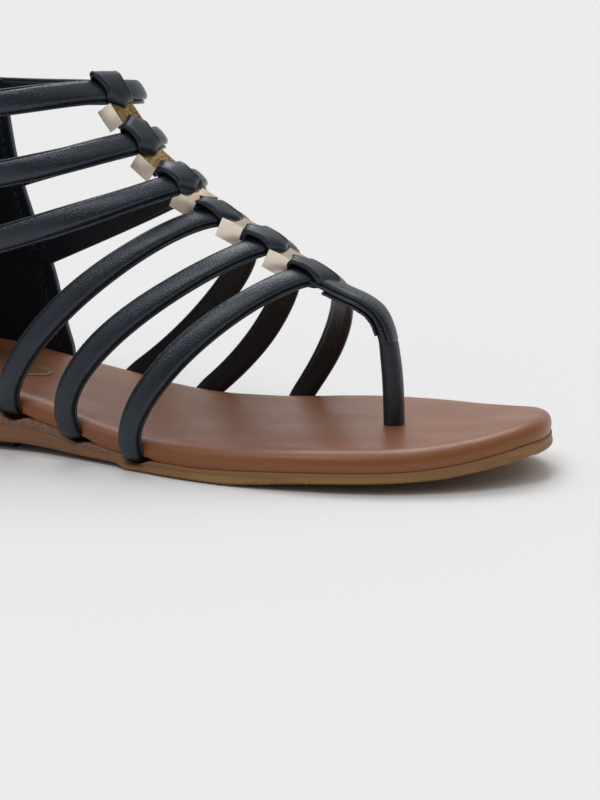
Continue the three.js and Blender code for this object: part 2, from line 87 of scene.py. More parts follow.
def blend(a: float, b: float, t: float) -> float:
    """Number at share t of the way from a to b."""
    return a + (b - a) * t


def bump(value: float, centre: float, reach: float) -> float:
    """Smooth hill of height 1 at a centre that falls to 0 at a reach on each side."""
    return 1 - ease(abs(value - centre), 0.0, reach)


def hermite(a: Spot, b: Spot, m: Spot, n: Spot, t: float) -> Spot:
    """Point or number at share t of a cubic piece from a to b with slopes m and n."""
    return a + m * t + (3 * (b - a) - 2 * m - n) * (t * t) + (2 * (a - b) + m + n) * t**3


def square_to(vector: Vector, direction: Vector) -> Vector:
    """Part of a vector that is square to a unit direction, as a unit vector."""
    return (vector - direction * vector.dot(direction)).normalized()


@dataclass(frozen=True)
class Profile:
    """Smooth curve through pairs of a distance and a value, level at its two ends."""

    points: tuple[tuple[float, float], ...]

    def slope(self, i: int) -> float:
        """Slope of the curve at one of its points."""
        if i <= 0 or i >= len(self.points) - 1:
            return 0.0
        (x0, y0), (x1, y1), (x2, y2) = self.points[i - 1 : i + 2]
        before = (y1 - y0) / (x1 - x0)
        after = (y2 - y1) / (x2 - x1)
        return 0.0 if before * after <= 0 else 2 * before * after / (before + after)

    def at(self, distance: float) -> float:
        """Value of the curve at a distance."""
        i = 0
        while i < len(self.points) - 2 and distance > self.points[i + 1][0]:
            i += 1
        (x0, y0), (x1, y1) = self.points[i], self.points[i + 1]
        span, rise = x1 - x0, y1 - y0
        t = min(max((distance - x0) / span, 0.0), 1.0)
        m0, m1 = self.slope(i) * span, self.slope(i + 1) * span
        return y0 + m0 * t + (3 * rise - 2 * m0 - m1) * t * t + (m0 + m1 - 2 * rise) * t**3


# ---------------------------------------------------------------- mesh making


def deselect_all() -> None:
    """Leaves edit mode and clears the selection."""
    if bpy.context.object and bpy.context.object.mode != "OBJECT":
        bpy.ops.object.mode_set(mode="OBJECT")
    bpy.ops.object.select_all(action="DESELECT")


def make_active(piece: bpy.types.Object) -> None:
    """Selects one piece alone and makes it the active one."""
    deselect_all()
    piece.select_set(True)
    bpy.context.view_layer.objects.active = piece


def apply_modifier(piece: bpy.types.Object, kind: str, **settings: object) -> None:
    """Adds a modifier to a piece and applies it.

    Args:
        piece: The object that is changed.
        kind: The modifier's type, such as BEVEL.
        settings: Values of the modifier's own settings.
    """
    make_active(piece)
    modifier = piece.modifiers.new(kind.title(), kind)
    for key, value in settings.items():
        setattr(modifier, key, value)
    bpy.ops.object.modifier_apply(modifier=modifier.name)


def bevel_edges(
    piece: bpy.types.Object, width: float, segments: int, angle: float, **settings: object
) -> None:
    """Bevels a piece's sharp edges.

    Args:
        piece: The object that is changed.
        width: Width of the bevel in millimetres.
        segments: Faces across it.
        angle: Angle in radians past which an edge is sharp.
        settings: Values of the modifier's other settings.
    """
    settings = {"limit_method": "ANGLE", "angle_limit": angle} | settings
    apply_modifier(piece, "BEVEL", width=width * MM, segments=segments, **settings)


def close_and_turn_out(piece: bpy.types.Object, weld: float = 2e-6) -> None:
    """Welds a piece's doubles, fills its open rims and turns its faces outwards.

    Args:
        piece: The mesh object.
        weld: Distance in metres under which vertices become one.
    """
    make_active(piece)
    bpy.ops.object.mode_set(mode="EDIT")
    bpy.ops.mesh.select_all(action="SELECT")
    bpy.ops.mesh.remove_doubles(threshold=weld)
    bpy.ops.mesh.dissolve_degenerate(threshold=1e-7)
    bpy.ops.mesh.select_all(action="SELECT")
    bpy.ops.mesh.fill_holes(sides=0)
    bpy.ops.mesh.select_all(action="SELECT")
    bpy.ops.mesh.normals_make_consistent(inside=False)
    bpy.ops.object.mode_set(mode="OBJECT")


def warped_grid(
    name: str, columns: int, rows: int, place: Place, tone: Tone | None = None
) -> bpy.types.Object:
    """Closed form made from a flat grid whose vertices are moved to their place.

    Args:
        name: Name of the new object.
        columns: Faces along the grid's first direction.
        rows: Faces along its second direction.
        place: Gives the point for two shares from 0 to 1.
        tone: Gives a number for the same shares, kept as the attribute "tone".

    Returns:
        The object, welded, filled, turned out and shaded smooth.
    """
    deselect_all()
    bpy.ops.mesh.primitive_grid_add(x_subdivisions=columns, y_subdivisions=rows, size=1.0)
    piece = bpy.context.object
    piece.name = name
    mesh = piece.data
    shares = [
        (round((v.co.x + 0.5) * columns) / columns, round((v.co.y + 0.5) * rows) / rows)
        for v in mesh.vertices
    ]
    if tone is not None:
        values = mesh.attributes.new("tone", "FLOAT", "POINT")
        values.data.foreach_set("value", [tone(u, v) for u, v in shares])
    for vertex, (u, v) in zip(mesh.vertices, shares):
        vertex.co = place(u, v)
    close_and_turn_out(piece)
    bpy.ops.object.shade_smooth()
    return piece


@dataclass
class Station:
    """One cross section's place on a ribbon, with its axes and its size as shares of full size."""

    centre: Vector
    across: Vector
    outward: Vector
    width: float = 1.0
    thickness: float = 1.0

    def mixed(self, other: "Station", t: float) -> "Station":
        """Station at share t of the way to another one."""
        return Station(
            self.centre.lerp(other.centre, t),
            self.across.lerp(other.across, t).normalized(),
            self.outward.lerp(other.outward, t).normalized(),
            blend(self.width, other.width, t),
            blend(self.thickness, other.thickness, t),
        )


Section = Sequence[tuple[float, float]]


class Ribbon:
    """A strip that follows a line of stations, read by its share of the whole length."""

    def __init__(self, stations: Sequence[Station]) -> None:
        self.stations = list(stations)
        self.lengths = [0.0]
        for before, after in zip(self.stations, self.stations[1:]):
            step = (after.centre - before.centre).length
            self.lengths.append(self.lengths[-1] + max(step, 1e-9))

    def at(self, share: float) -> Station:
        """Station at a share of the length."""
        target = share * self.lengths[-1]
        i = min(max(bisect_left(self.lengths, target), 1), len(self.lengths) - 1)
        low, high = self.lengths[i - 1], self.lengths[i]
        return self.stations[i - 1].mixed(self.stations[i], (target - low) / (high - low))

    def sweep(
        self, name: str, section: Section, rows: int, tones: Sequence[float] | None = None
    ) -> bpy.types.Object:
        """Solid strip with a closed section.

        Args:
            name: Name of the new object.
            section: Points across and outward, in millimetres, in order round the section.
            rows: Faces along the ribbon.
            tones: One number for each point of the section, kept as the attribute "tone".

        Returns:
            The new object.
        """
        count = len(section)
        line = [self.at(i / rows) for i in range(rows + 1)]

        def place(u: float, v: float) -> Vector:
            station = line[round(v * rows)]
            w, h = section[round(u * count) % count]
            return (
                station.centre
                + station.across * (w * station.width * MM)
                + station.outward * (h * station.thickness * MM)
            )

        def tone(u: float, _: float) -> float:
            return tones[round(u * count) % count] if tones else 0.0

        return warped_grid(name, count, rows, place, tone if tones else None)


def mirrored_section(half: Section) -> list[tuple[float, float]]:
    """Closed section from the points of its right half, listed from the bottom to the top."""
    return list(half) + [(-w, h) for w, h in reversed(half[1:-1])]


def mirrored_tones(half: Sequence[float]) -> list[float]:
    """Tones of a closed section from those of its right half."""
    return list(half) + list(reversed(half[1:-1]))


# ---------------------------------------------------------------- shader making


class Field:
    """A shader socket; arithmetic on it adds Math nodes to its material."""

    def __init__(self, shader: "Shader", socket: bpy.types.NodeSocket | None) -> None:
        self.shader = shader
        self.socket = socket

    def _maths(self, operation: str, *values: "Field | float") -> "Field":
        """Result of a Math node on some values."""
        return self.shader.add("ShaderNodeMath", {"operation": operation}, dict(enumerate(values)))

    def __add__(self, other: "Field | float") -> "Field":
        """Sum."""
        return self._maths("ADD", self, other)

    __radd__ = __add__

    def __sub__(self, other: "Field | float") -> "Field":
        """Difference."""
        return self._maths("SUBTRACT", self, other)

    def __rsub__(self, other: "Field | float") -> "Field":
        """Difference, from a number."""
        return self._maths("SUBTRACT", other, self)

    def __mul__(self, other: "Field | float") -> "Field":
        """Product."""
        return self._maths("MULTIPLY", self, other)

    __rmul__ = __mul__

    def ease(self, low: float, high: float) -> "Field":
        """Smooth step from 0 at low to 1 at high; low may be the larger one."""
        return self.shader.add(
            "ShaderNodeMapRange",
            {"interpolation_type": "SMOOTHSTEP"},
            {"Value": self, "From Min": low, "From Max": high},
        )


Value = Field | float | tuple[float, ...]


class Shader:
    """Node tree of one material or of the world."""

    def __init__(self, tree: bpy.types.NodeTree) -> None:
        self.tree = tree
        tree.nodes.clear()

    def add(
        self,
        kind: str,
        settings: dict[str, object],
        values: dict[str | int, Value],
        output: int = 0,
    ) -> Field:
        """Adds one node.

        Args:
            kind: The node's type.
            settings: Its own settings, which are set first.
            values: A number, a colour or another field for each named or numbered socket.
            output: Number of the output that is returned.

        Returns:
            The node's output.
        """
        node = self.tree.nodes.new(kind)
        for key, value in settings.items():
            setattr(node, key, value)
        for key, value in values.items():
            if isinstance(value, Field):
                self.tree.links.new(value.socket, node.inputs[key])
            else:
                node.inputs[key].default_value = value
        return Field(self, node.outputs[output] if len(node.outputs) else None)

    def where(self) -> Field:
        """Place on the object, in metres."""
        return self.add("ShaderNodeTexCoord", {}, {}, 3)

    def attribute(self, name: str) -> Field:
        """A number that the mesh keeps at its vertices."""
        return self.add("ShaderNodeAttribute", {"attribute_name": name}, {}, 2)

    def axis(self, number: int) -> Field:
        """One coordinate of the place on the object, in metres."""
        return self.add("ShaderNodeSeparateXYZ", {}, {0: self.where()}, number)

    def clouds(
        self, size: float, detail: float = 3.0, stretch: tuple[float, ...] = (1, 1, 1)
    ) -> Field:
        """Soft noise from 0 to 1.

        Args:
            size: Size of a patch in millimetres.
            detail: How many finer layers are added.
            stretch: Factor on each axis; a small one draws the patches out along it.

        Returns:
            The noise.
        """
        spot = self.where()
        if stretch != (1, 1, 1):
            spot = self.add("ShaderNodeMapping", {}, {"Vector": spot, "Scale": stretch})
        values = {"Vector": spot, "Scale": 1000.0 / size, "Detail": detail}
        return self.add("ShaderNodeTexNoise", {}, values)

    def cells(self, size: float, feature: str = "F1") -> Field:
        """Distance inside Voronoi cells of a size in millimetres."""
        values = {"Vector": self.where(), "Scale": 1000.0 / size}
        return self.add("ShaderNodeTexVoronoi", {"feature": feature}, values)

    def mix(self, factor: Field | float, first: Value, second: Value) -> Field:
        """Colour at a factor of the way from a first to a second one."""
        values = {0: factor, 6: first, 7: second}
        return self.add("ShaderNodeMix", {"data_type": "RGBA", "clamp_factor": True}, values, 2)

    def relief(
        self, height: Field, depth: float, strength: float = 1.0, under: Field | None = None
    ) -> Field:
        """Normal of a surface with a relief.

        Args:
            height: Height of the relief, from 0 to 1.
            depth: Its full depth in millimetres.
            strength: How much of it shows.
            under: Normal that it lies on.

        Returns:
            The normal.
        """
        values: dict[str | int, Value] = {"Height": height, "Strength": strength}
        values["Distance"] = depth * MM
        if under is not None:
            values["Normal"] = under
        return self.add("ShaderNodeBump", {}, values)

    def surface(self, values: dict[str | int, Value]) -> None:
        """Ends the material with a Principled shader that has some socket values."""
        shader = self.add("ShaderNodeBsdfPrincipled", {}, values)
        self.add("ShaderNodeOutputMaterial", {}, {"Surface": shader})


Colour = tuple[float, float, float, float]


@dataclass(frozen=True)
class Finish:
    """A finish of one kind of material."""

    name: str

    def paint(self, shader: Shader) -> None:
        """Adds the finish's nodes."""
        raise NotImplementedError

    def material(self) -> bpy.types.Material:
        """The finish as a material, made once."""
        if self.name not in bpy.data.materials:
            material = bpy.data.materials.new(self.name)
            material.use_nodes = True
            self.paint(Shader(material.node_tree))
        return bpy.data.materials[self.name]


@dataclass(frozen=True)
class GrainedLeather(Finish):
    """Dyed leather with a pebble grain. Tone up to 1 marks edges painted lighter and greyer: rubbed
    raw edges, partly painted sheen and highlight. Tone down to -1 marks places painted near black:
    the dark lining, and painted shade in grooves and folds.
    """

    colour: Colour = (0.0078, 0.0108, 0.018, 1)
    # Lighter, greyer edge colour: rubbed raw edge, partly painted sheen and highlight.
    rubbed_edge_and_sheen: Colour = (0.075, 0.085, 0.105, 1)
    grain: float = 0.5
    depth: float = 0.13
    roughness: float = 0.29
    coat: float = 0.3

    def paint(self, shader: Shader) -> None:
        """Adds the finish's nodes."""
        tone = shader.attribute("tone")
        patches = shader.clouds(9.0, 2.0)
        pebbles = shader.cells(self.grain)
        wrinkles = shader.clouds(self.grain * 1.1, 2.0)
        height = pebbles * 0.9 + wrinkles * 0.5
        darker = tuple(c * 0.75 for c in self.colour[:3]) + (1.0,)
        lighter = tuple(c * 1.3 for c in self.colour[:3]) + (1.0,)
        base = shader.mix(patches.ease(0.3, 0.7), darker, lighter)
        # Edges lightened: rubbed raw edge, partly painted sheen and highlight.
        base = shader.mix(tone.ease(0.15, 1.0) * 0.8, base, self.rubbed_edge_and_sheen)
        # Darkened towards black: the dark lining, and painted shade in grooves and folds.
        base = shader.mix(tone.ease(0.0, -0.8), base, (0.0018, 0.0018, 0.0024, 1))
        normal = shader.relief(height, self.depth, 0.9)
        normal = shader.relief(shader.clouds(5.0, 1.0), 0.1, 0.5, normal)
        worn = shader.clouds(1.5, 2.0) * 0.12 + tone.ease(0.0, -0.8) * 0.2
        values = {"Base Color": base, "Roughness": worn + (self.roughness - 0.06), "Normal": normal}
        values |= {"Coat Weight": self.coat, "Coat Roughness": 0.28}
        shader.surface(values | {"Specular Tint": (0.75, 0.87, 1.0, 1.0)})


@dataclass(frozen=True)
class FootbedLeather(Finish):
    """Smooth tan leather, drawn tight over the footbed and a little darker in worn patches. Tone 1
    marks the wall, painted darker and more orange as shade.
    """

    colour: Colour = (0.265, 0.105, 0.05, 1)
    shade: Colour = (0.19, 0.066, 0.027, 1)
    # Painted shade of the wall: darker and more orange than the top.
    wall: Colour = (0.245, 0.08, 0.022, 1)

    def paint(self, shader: Shader) -> None:
        """Adds the finish's nodes."""
        mottle = shader.clouds(14.0, 3.0, (0.5, 1, 1)).ease(0.3, 0.72)
        fine = shader.clouds(1.2, 2.0)
        base = shader.mix(mottle * 0.5 + fine * 0.15, self.colour, self.shade)
        # The wall takes its painted shade here.
        base = shader.mix(shader.attribute("tone") * 0.8, base, self.wall)
        pores = shader.cells(0.7, "SMOOTH_F1")
        draws = shader.clouds(7.0, 2.0, (0.35, 1, 1))
        normal = shader.relief(pores, 0.07, 0.6)
        normal = shader.relief(draws, 0.28, 0.4, normal)
        rough = fine * 0.1 + mottle * 0.08 + 0.28
        values = {"Base Color": base, "Roughness": rough, "Normal": normal}
        shader.surface(values | {"Specular IOR Level": 0.46})


@dataclass(frozen=True)
class SoleRubber(Finish):
    """Tan moulded rubber, redder at the waist. Tone 1 marks the gritty part of the waist's wall."""

    colour: Colour = (0.3, 0.155, 0.042, 1)
    waist: Colour = (0.25, 0.115, 0.05, 1)
    dark: Colour = (0.16, 0.08, 0.035, 1)
    grit: Colour = (0.16, 0.085, 0.05, 1)

    def paint(self, shader: Shader) -> None:
        """Adds the finish's nodes."""
        rough_part = shader.attribute("tone").ease(0.2, 0.8)
        ahead = shader.axis(0).ease(0.075, 0.12)
        streaks = shader.clouds(5.0, 4.0, (0.25, 0.25, 1.6)).ease(0.35, 0.7)
        crumbs = shader.cells(0.6)
        speckle = shader.clouds(0.55, 2.0)
        base = shader.mix(streaks * 0.55, shader.mix(ahead, self.waist, self.colour), self.dark)
        base = shader.mix(shader.attribute("tone").ease(0.0, -1.0) * 0.7, base, self.waist)
        light_grit = tuple(c * 1.9 for c in self.grit[:3]) + (1,)
        grit = shader.mix(speckle.ease(0.42, 0.62), self.grit, light_grit)
        base = shader.mix(rough_part, base, grit)
        height = crumbs * rough_part + speckle * (rough_part * 0.8 + 0.15)
        normal = shader.relief(height, 0.3, 0.8)
        normal = shader.relief(streaks, 0.12, 0.5, normal)
        shader.surface({"Base Color": base, "Roughness": speckle * 0.15 + 0.5, "Normal": normal})


@dataclass(frozen=True)
class HardRubber(Finish):
    """Dark brown hard rubber of the heel lift."""

    def paint(self, shader: Shader) -> None:
        """Adds the finish's nodes."""
        dark, light = (0.035, 0.013, 0.009, 1), (0.06, 0.022, 0.014, 1)
        base = shader.mix(shader.clouds(3.0, 4.0), dark, light)
        normal = shader.relief(shader.clouds(0.6, 3.0), 0.1, 0.6)
        rough = shader.clouds(2.0, 2.0) * 0.2 + 0.5
        shader.surface({"Base Color": base, "Roughness": rough, "Normal": normal})


@dataclass(frozen=True)
class PaleGold(Finish):
    """Pale gold plating. Tone 1 marks top faces, which take a darker bronze tint; tone -1 marks
    edges, painted near white as highlights; the walls are painted lighter as a reflection of the
    floor.
    """

    tint: float = 0.0

    def paint(self, shader: Shader) -> None:
        """Adds the finish's nodes."""
        tone = shader.attribute("tone")
        speckle = shader.clouds(0.7, 3.0).ease(0.36, 0.6)
        # Top faces take a darker bronze tint with speckles, by the amount tint.
        marks = tone.ease(0.3, 0.7) * self.tint
        edges = tone.ease(-0.05, -0.3)
        walls = 1 - tone.ease(0.3, 0.7)
        bronze = shader.mix(speckle, (0.12, 0.068, 0.018, 1), (0.4, 0.26, 0.095, 1))
        # Walls painted lighter than the top faces: a painted reflection of the bright floor; the
        # top faces are darker to hold back their highlight.
        base = shader.mix(walls, (0.7, 0.56, 0.45, 1), (1.0, 0.86, 0.72, 1))
        base = shader.mix(marks, base, bronze)
        # Edges painted near white: painted highlights.
        base = shader.mix(edges, base, (1.0, 0.93, 0.84, 1))
        rough = marks * (speckle * 0.08 + 0.16) + walls * 0.12 + 0.18
        # Walls and edges are less metallic so that their painted light shows.
        metal = 1 - walls * 0.5 - edges * 0.25
        normal = shader.relief(shader.clouds(3.0, 1.0), 0.03, 0.4)
        values = {"Base Color": base, "Metallic": metal, "Roughness": rough, "Normal": normal}
        shader.surface(values)


@dataclass(frozen=True)
class GiltFoil(Finish):
    """Thin gilt foil stamped on the footbed."""

    def paint(self, shader: Shader) -> None:
        """Adds the finish's nodes."""
        worn = shader.clouds(2.5, 4.0).ease(0.4, 0.7)
        base = shader.mix(worn, (0.3, 0.155, 0.06, 1), (0.24, 0.1, 0.042, 1))
        normal = shader.relief(shader.cells(0.55, "SMOOTH_F1"), 0.03, 0.5)
        rough = worn * 0.2 + 0.34
        metal = 0.55 - worn * 0.3
        values = {"Base Color": base, "Metallic": metal, "Roughness": rough, "Normal": normal}
        shader.surface(values)


@dataclass(frozen=True)
class PaleFloor(Finish):
    """Matt pale studio floor."""

    def paint(self, shader: Shader) -> None:
        """Adds the finish's nodes."""
        dark, light = (0.806, 0.806, 0.806, 1), (0.81, 0.81, 0.81, 1)
        base = shader.mix(shader.clouds(400.0, 1.0), dark, light)
        shader.surface({"Base Color": base, "Roughness": 1.0, "Specular IOR Level": 0.0})


STRAP_COVER = GrainedLeather("strap_leather_navy")
LOOP_COVER = GrainedLeather(
    "loop_leather_navy", (0.0062, 0.0085, 0.0145, 1), depth=0.05, roughness=0.38
)
POST_COVER = GrainedLeather(
    "post_leather_black", (0.006, 0.0065, 0.009, 1), depth=0.06, roughness=0.5
)
COUNTER_COVER = GrainedLeather(
    "counter_leather_navy", grain=0.6, depth=0.08, roughness=0.4, coat=0.0
)
LINING = GrainedLeather("lining_black", (0.003, 0.003, 0.004, 1), depth=0.05, roughness=0.6)
THREAD = GrainedLeather(
    "thread_navy", (0.02, 0.024, 0.034, 1), grain=0.3, depth=0.06, roughness=0.55
)


def set_in_frame(
    piece: bpy.types.Object, finish: Finish, slot: Slot, *replaced: str, padded: float | None = None
) -> None:
    """Gives a finished piece its material and its place in the frame.

    Args:
        piece: The object.
        finish: The finish that it wears.
        slot: The record's slot that the finish belongs to; not used.
        replaced: CAD nodes that the piece stands for.
        padded: How full a padded piece is, from 0 to 1; None for a piece that isn't padded. Not
            used.
    """
    piece.data.materials.clear()
    piece.data.materials.append(finish.material())
    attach(piece, "root")
    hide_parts(*replaced)
    LOG.info("%s: %d faces", piece.name, len(piece.data.polygons))


# ---------------------------------------------------------------- sole


class SoleShape:
    """The last's outline and side view, from which sole pieces and strap ends take their place."""

    # By distance from the heel: height of the joint between footbed and outsole, then of the
    # underside, then the footbed's half widths on the lateral and the medial side.
    joint = Profile(
        ((0, 16.8), (60, 15.2), (90, 11.2), (100, 9.5), (110, 7.5), (118, 5.7), (131, 4.0))
        + ((138, 3.65), (150, 3.65), (162, 4.2), (172, 4.95), (186, 5.8), (200, 6.3))
        + ((214, 6.85), (224, 7.9), (232, 9.3), (238, 10.7), (246, 12.4))
    )
    underside = Profile(
        ((0, 2.6), (60, 2.6), (90, 2.5), (100, 1.9), (112, 1.3), (126, 0.9), (131, 0.0), (150, 0.0))
        + ((162, 0.0), (172, 0.8), (186, 2.1), (200, 2.8), (214, 3.4), (224, 4.1), (232, 5.5))
        + ((238, 6.7), (246, 8.2))
    )
    halves = (
        ((0, 0, 0), (6, 13.8, 14.1), (25, 25.3, 25.5), (60, 28.0, 25.2), (95, 30.0, 25.2))
        + ((125, 35.1, 30.2), (150, 39.8, 35.1), (170, 41.1, 39.3), (190, 39.2, 41.3))
        + ((210, 33.3, 40.4), (228, 22.3, 34.8), (240, 9.6, 25.2), (246, -5.0, 5.0))
    )
    middle_ends = (18.0, 226.0)  # the middle line stays inside every inset
    steps = 40  # points on each span of the outline

    def __init__(self) -> None:
        lateral = [Vector((x, -y)) for x, y, _ in self.halves]
        medial = [Vector((x, y)) for x, _, y in reversed(self.halves[1:-1])]
        knots = lateral + medial
        loop = [
            self._between(knots, i, k / self.steps)
            for i in range(len(knots))
            for k in range(self.steps)
        ]
        toe = max(range(len(loop)), key=lambda i: loop[i].x)
        self.sides = {
            Side.LATERAL: loop[: toe + 1],
            Side.MEDIAL: list(reversed(loop[toe:] + loop[:1])),
        }
        self.lengths: dict[Side, list[float]] = {}
        for side, line in self.sides.items():
            lengths = [0.0]
            for before, after in zip(line, line[1:]):
                lengths.append(lengths[-1] + (after - before).length)
            self.lengths[side] = lengths

    @staticmethod
    def _between(knots: list[Vector], i: int, t: float) -> Vector:
        """Point on the closed centripetal curve between knot i and the next one."""
        p = [knots[(i + k - 1) % len(knots)] for k in range(4)]
        d = [max((p[k + 1] - p[k]).length, 1e-4) ** 0.5 for k in range(3)]
        first = (p[1] - p[0]) / d[0] - (p[2] - p[0]) / (d[0] + d[1]) + (p[2] - p[1]) / d[1]
        second = (p[2] - p[1]) / d[1] - (p[3] - p[1]) / (d[1] + d[2]) + (p[3] - p[2]) / d[2]
        first, second = first * d[1], second * d[1]
        square = -3 * p[1] + 3 * p[2] - 2 * first - second
        cube = 2 * p[1] - 2 * p[2] + first + second
        return p[1] + first * t + square * t * t + cube * t**3

    def on_side(self, side: Side, share: float) -> tuple[Vector, Vector]:
        """Point of the outline at a share of one side's length from the heel, with its normal."""
        line, lengths = self.sides[side], self.lengths[side]
        target = share * lengths[-1]
        i = min(max(bisect_left(lengths, target), 1), len(lengths) - 1)
        t = (target - lengths[i - 1]) / (lengths[i] - lengths[i - 1])
        point = line[i - 1].lerp(line[i], t)
        before, after = line[max(i - 2, 0)], line[min(i + 1, len(line) - 1)]
        along = after - before
        normal = Vector((along.y, -along.x)).normalized() * -side.value
        if share <= 0.0:
            normal = Vector((-1.0, 0.0))
        if share >= 1.0:
            normal = Vector((1.0, 0.0))
        return point, normal

    def around(self, turn: float) -> tuple[Vector, Vector]:
        """Outline point and normal at a share of a turn: 0 heel, 0.5 toe, lateral side first."""
        if turn <= 0.5:
            return self.on_side(Side.LATERAL, 2 * turn)
        return self.on_side(Side.MEDIAL, 2 - 2 * turn)

    def middle(self, turn: float) -> Vector:
        """Point half way between the two sides of the outline at a share of a turn."""
        share = 2 * turn if turn <= 0.5 else 2 - 2 * turn
        lateral, _ = self.on_side(Side.LATERAL, share)
        medial, _ = self.on_side(Side.MEDIAL, share)
        centre = (lateral + medial) / 2
        heel, toe = self.middle_ends
        return Vector((min(max(centre.x, heel), toe), centre.y))

    def share_at(self, side: Side, distance: float) -> float:
        """Share of one side's length at which the outline is a distance from the heel."""
        line = self.sides[side]
        i = next(k for k, point in enumerate(line) if point.x >= distance and k > 0)
        t = (distance - line[i - 1].x) / (line[i].x - line[i - 1].x)
        return blend(self.lengths[side][i - 1], self.lengths[side][i], t) / self.lengths[side][-1]

    def edge(self, distance: float, side: Side) -> float:
        """Distance across from the centre line to the footbed's edge."""
        point, _ = self.on_side(side, self.share_at(side, distance))
        return point.y


SOLE = SoleShape()
FEET = {
    Side.LATERAL: (89.3, 111.4, 133.0),
    Side.MEDIAL: (101.4, 123.7, 154.1),
}
COUNTER_WALL = 2.4
COUNTER_FRONT = 83.0


@dataclass(frozen=True)
class Ring:
    """One level of a sole piece.

    Attributes:
        inset: How far it lies inside the outline: a number, or a function of place and side.
        height: Height in millimetres as a function of the distance from the heel and the side.
        inward: Share of the way from there to the middle line.
    """

    inset: float | Callable[[float, Side], float]
    height: Callable[[float, Side], float]
    inward: float = 0.0


def sole_piece(
    name: str, rings: Sequence[Ring], columns: int, tone: Tone | None = None
) -> bpy.types.Object:
    """Closed piece with the sole's outline, from rings listed from the bottom to the top.

    Args:
        name: Name of the new object.
        rings: Its levels; the first and the last have closed to the middle line.
        columns: Faces round the outline; an even number.
        tone: Number kept at each vertex, from the turn round and the share upwards.

    Returns:
        The new object.
    """
    spots = []
    for i in range(columns):
        point, normal = SOLE.around(i / columns)
        side = Side.LATERAL if i <= columns / 2 else Side.MEDIAL
        spots.append((point, normal, SOLE.middle(i / columns), side))

    def place(u: float, v: float) -> Vector:
        point, normal, middle, side = spots[round(u * columns) % columns]
        ring = rings[round(v * (len(rings) - 1))]
        inset = ring.inset(point.x, side) if callable(ring.inset) else ring.inset
        spot = (point - normal * inset).lerp(middle, ring.inward)
        return placed(spot.x, spot.y, ring.height(spot.x, side))

    return warped_grid(name, columns, len(rings) - 1, place, tone)


@dataclass(frozen=True)
class Footbed:
    """Wrapped footbed: a flat core with a rounded rim, dished a little, with a foil oval."""

    dish: float = 0.9
    crown: float = 0.2  # rise of the top's middle under the toes
    top_rise: float = 6.45  # from the joint to the top face's edge
    top_inset: float = 5.4
    core_inset: float = 2.0
    core_shares = (1.0, 0.6, 0.2, 0.0)  # of the way in, under the footbed
    columns: int = 640
    rim_steps: int = 20
    top_steps: int = 16
    slot_rise: float = 1.0  # how far the lower edge lifts ahead of a strap's end
    slot_reach: float = 5.0
    oval_centre: tuple[float, float] = (63.0, -0.5)
    oval_half: tuple[float, float] = (25.0, 12.5)
    oval_profile = (  # share of the way out, with height
        ((0.0, 0.02), (0.3, 0.05), (0.6, 0.05), (0.9, 0.05))
        + ((0.93, 0.14), (0.97, 0.14), (1.0, 0.0))
    )

    # Share of the way up the wall and over the rim, with inset and height above the joint.
    rim = (
        ((0.0, 0.45), (0.08, 0.12), (0.2, -0.1), (0.33, -0.15), (0.45, 0.15), (0.57, 0.75))
        + ((0.7, 1.75), (0.84, 3.3), (1.0, 5.4))
    )
    rise = (
        ((0.0, -0.25), (0.08, 0.1), (0.2, 1.2), (0.33, 2.4), (0.45, 3.6), (0.57, 4.65))
        + ((0.7, 5.5), (0.84, 6.2), (1.0, 6.45))
    )

    def lift(self, distance: float, side: Side) -> float:
        """How far the lower edge is raised beside a strap's end."""
        starts = (bump(distance, foot + 3.0, self.slot_reach) for foot in FEET[side])
        return self.slot_rise * max(starts)

    def top(self, distance: float, inward: float) -> float:
        """Height of the top face at a share of the way to the middle line."""
        sag = blend(self.dish, -self.crown, ease(distance, 150, 200))
        return SOLE.joint.at(distance) + self.top_rise - sag * (1 - (1 - inward) ** 2)

    def build(self) -> None:
        """Makes the footbed and the foil on it."""
        inset, height = Profile(self.rim), Profile(self.rise)

        def bottom(x: float, s: Side) -> float:
            return SOLE.joint.at(x) + 0.2 + self.lift(x, s)

        rings = [Ring(self.core_inset, bottom, w) for w in self.core_shares]
        for k in range(self.rim_steps + 1):
            t = k / self.rim_steps
            low = max(1 - t / 0.4, 0.0)

            def up(x: float, s: Side, t: float = t, low: float = low) -> float:
                return SOLE.joint.at(x) + height.at(t) + low * self.lift(x, s)

            rings.append(Ring(inset.at(t), up))
        for k in range(1, self.top_steps + 1):
            w = k / self.top_steps
            rings.append(Ring(self.top_inset, lambda x, s, w=w: self.top(x, w), w))
        steps = len(rings) - 1

        # Tone 1 up the core and the lower rim, fading to 0 over the top: where the wall's painted
        # shade goes.
        def tone(_: float, v: float) -> float:
            return 1 - ease((v * steps - len(self.core_shares)) / self.rim_steps, 0.45, 0.75)

        piece = sole_piece("footbed", rings, self.columns, tone)
        cover = FootbedLeather("footbed_leather_tan")
        set_in_frame(piece, cover, Slot.FOOTBED, "footbed", padded=0.95)
        self.build_oval()

    def build_oval(self) -> None:
        """Makes the plain foil oval on the heel seat, with a thin raised rim."""
        heights = Profile(self.oval_profile)

        def place(u: float, v: float) -> Vector:
            angle = 2 * math.pi * u
            lower = v > 0.5
            r = 2 * (1 - v) if lower else 2 * v
            x = self.oval_centre[0] + self.oval_half[0] * r * math.cos(angle)
            y = self.oval_centre[1] + self.oval_half[1] * r * math.sin(angle)
            side = Side.LATERAL if y < 0 else Side.MEDIAL
            edge = abs(SOLE.edge(x, side)) - self.top_inset
            base = self.top(x, 1 - min(abs(y) / edge, 1.0))
            return placed(x, y, base - 0.1 if lower and r < 0.999 else base + heights.at(r))

        piece = warped_grid("footbed_foil", 96, 28, place)
        set_in_frame(piece, GiltFoil("gilt_foil"), Slot.FOOTBED, "footbed")


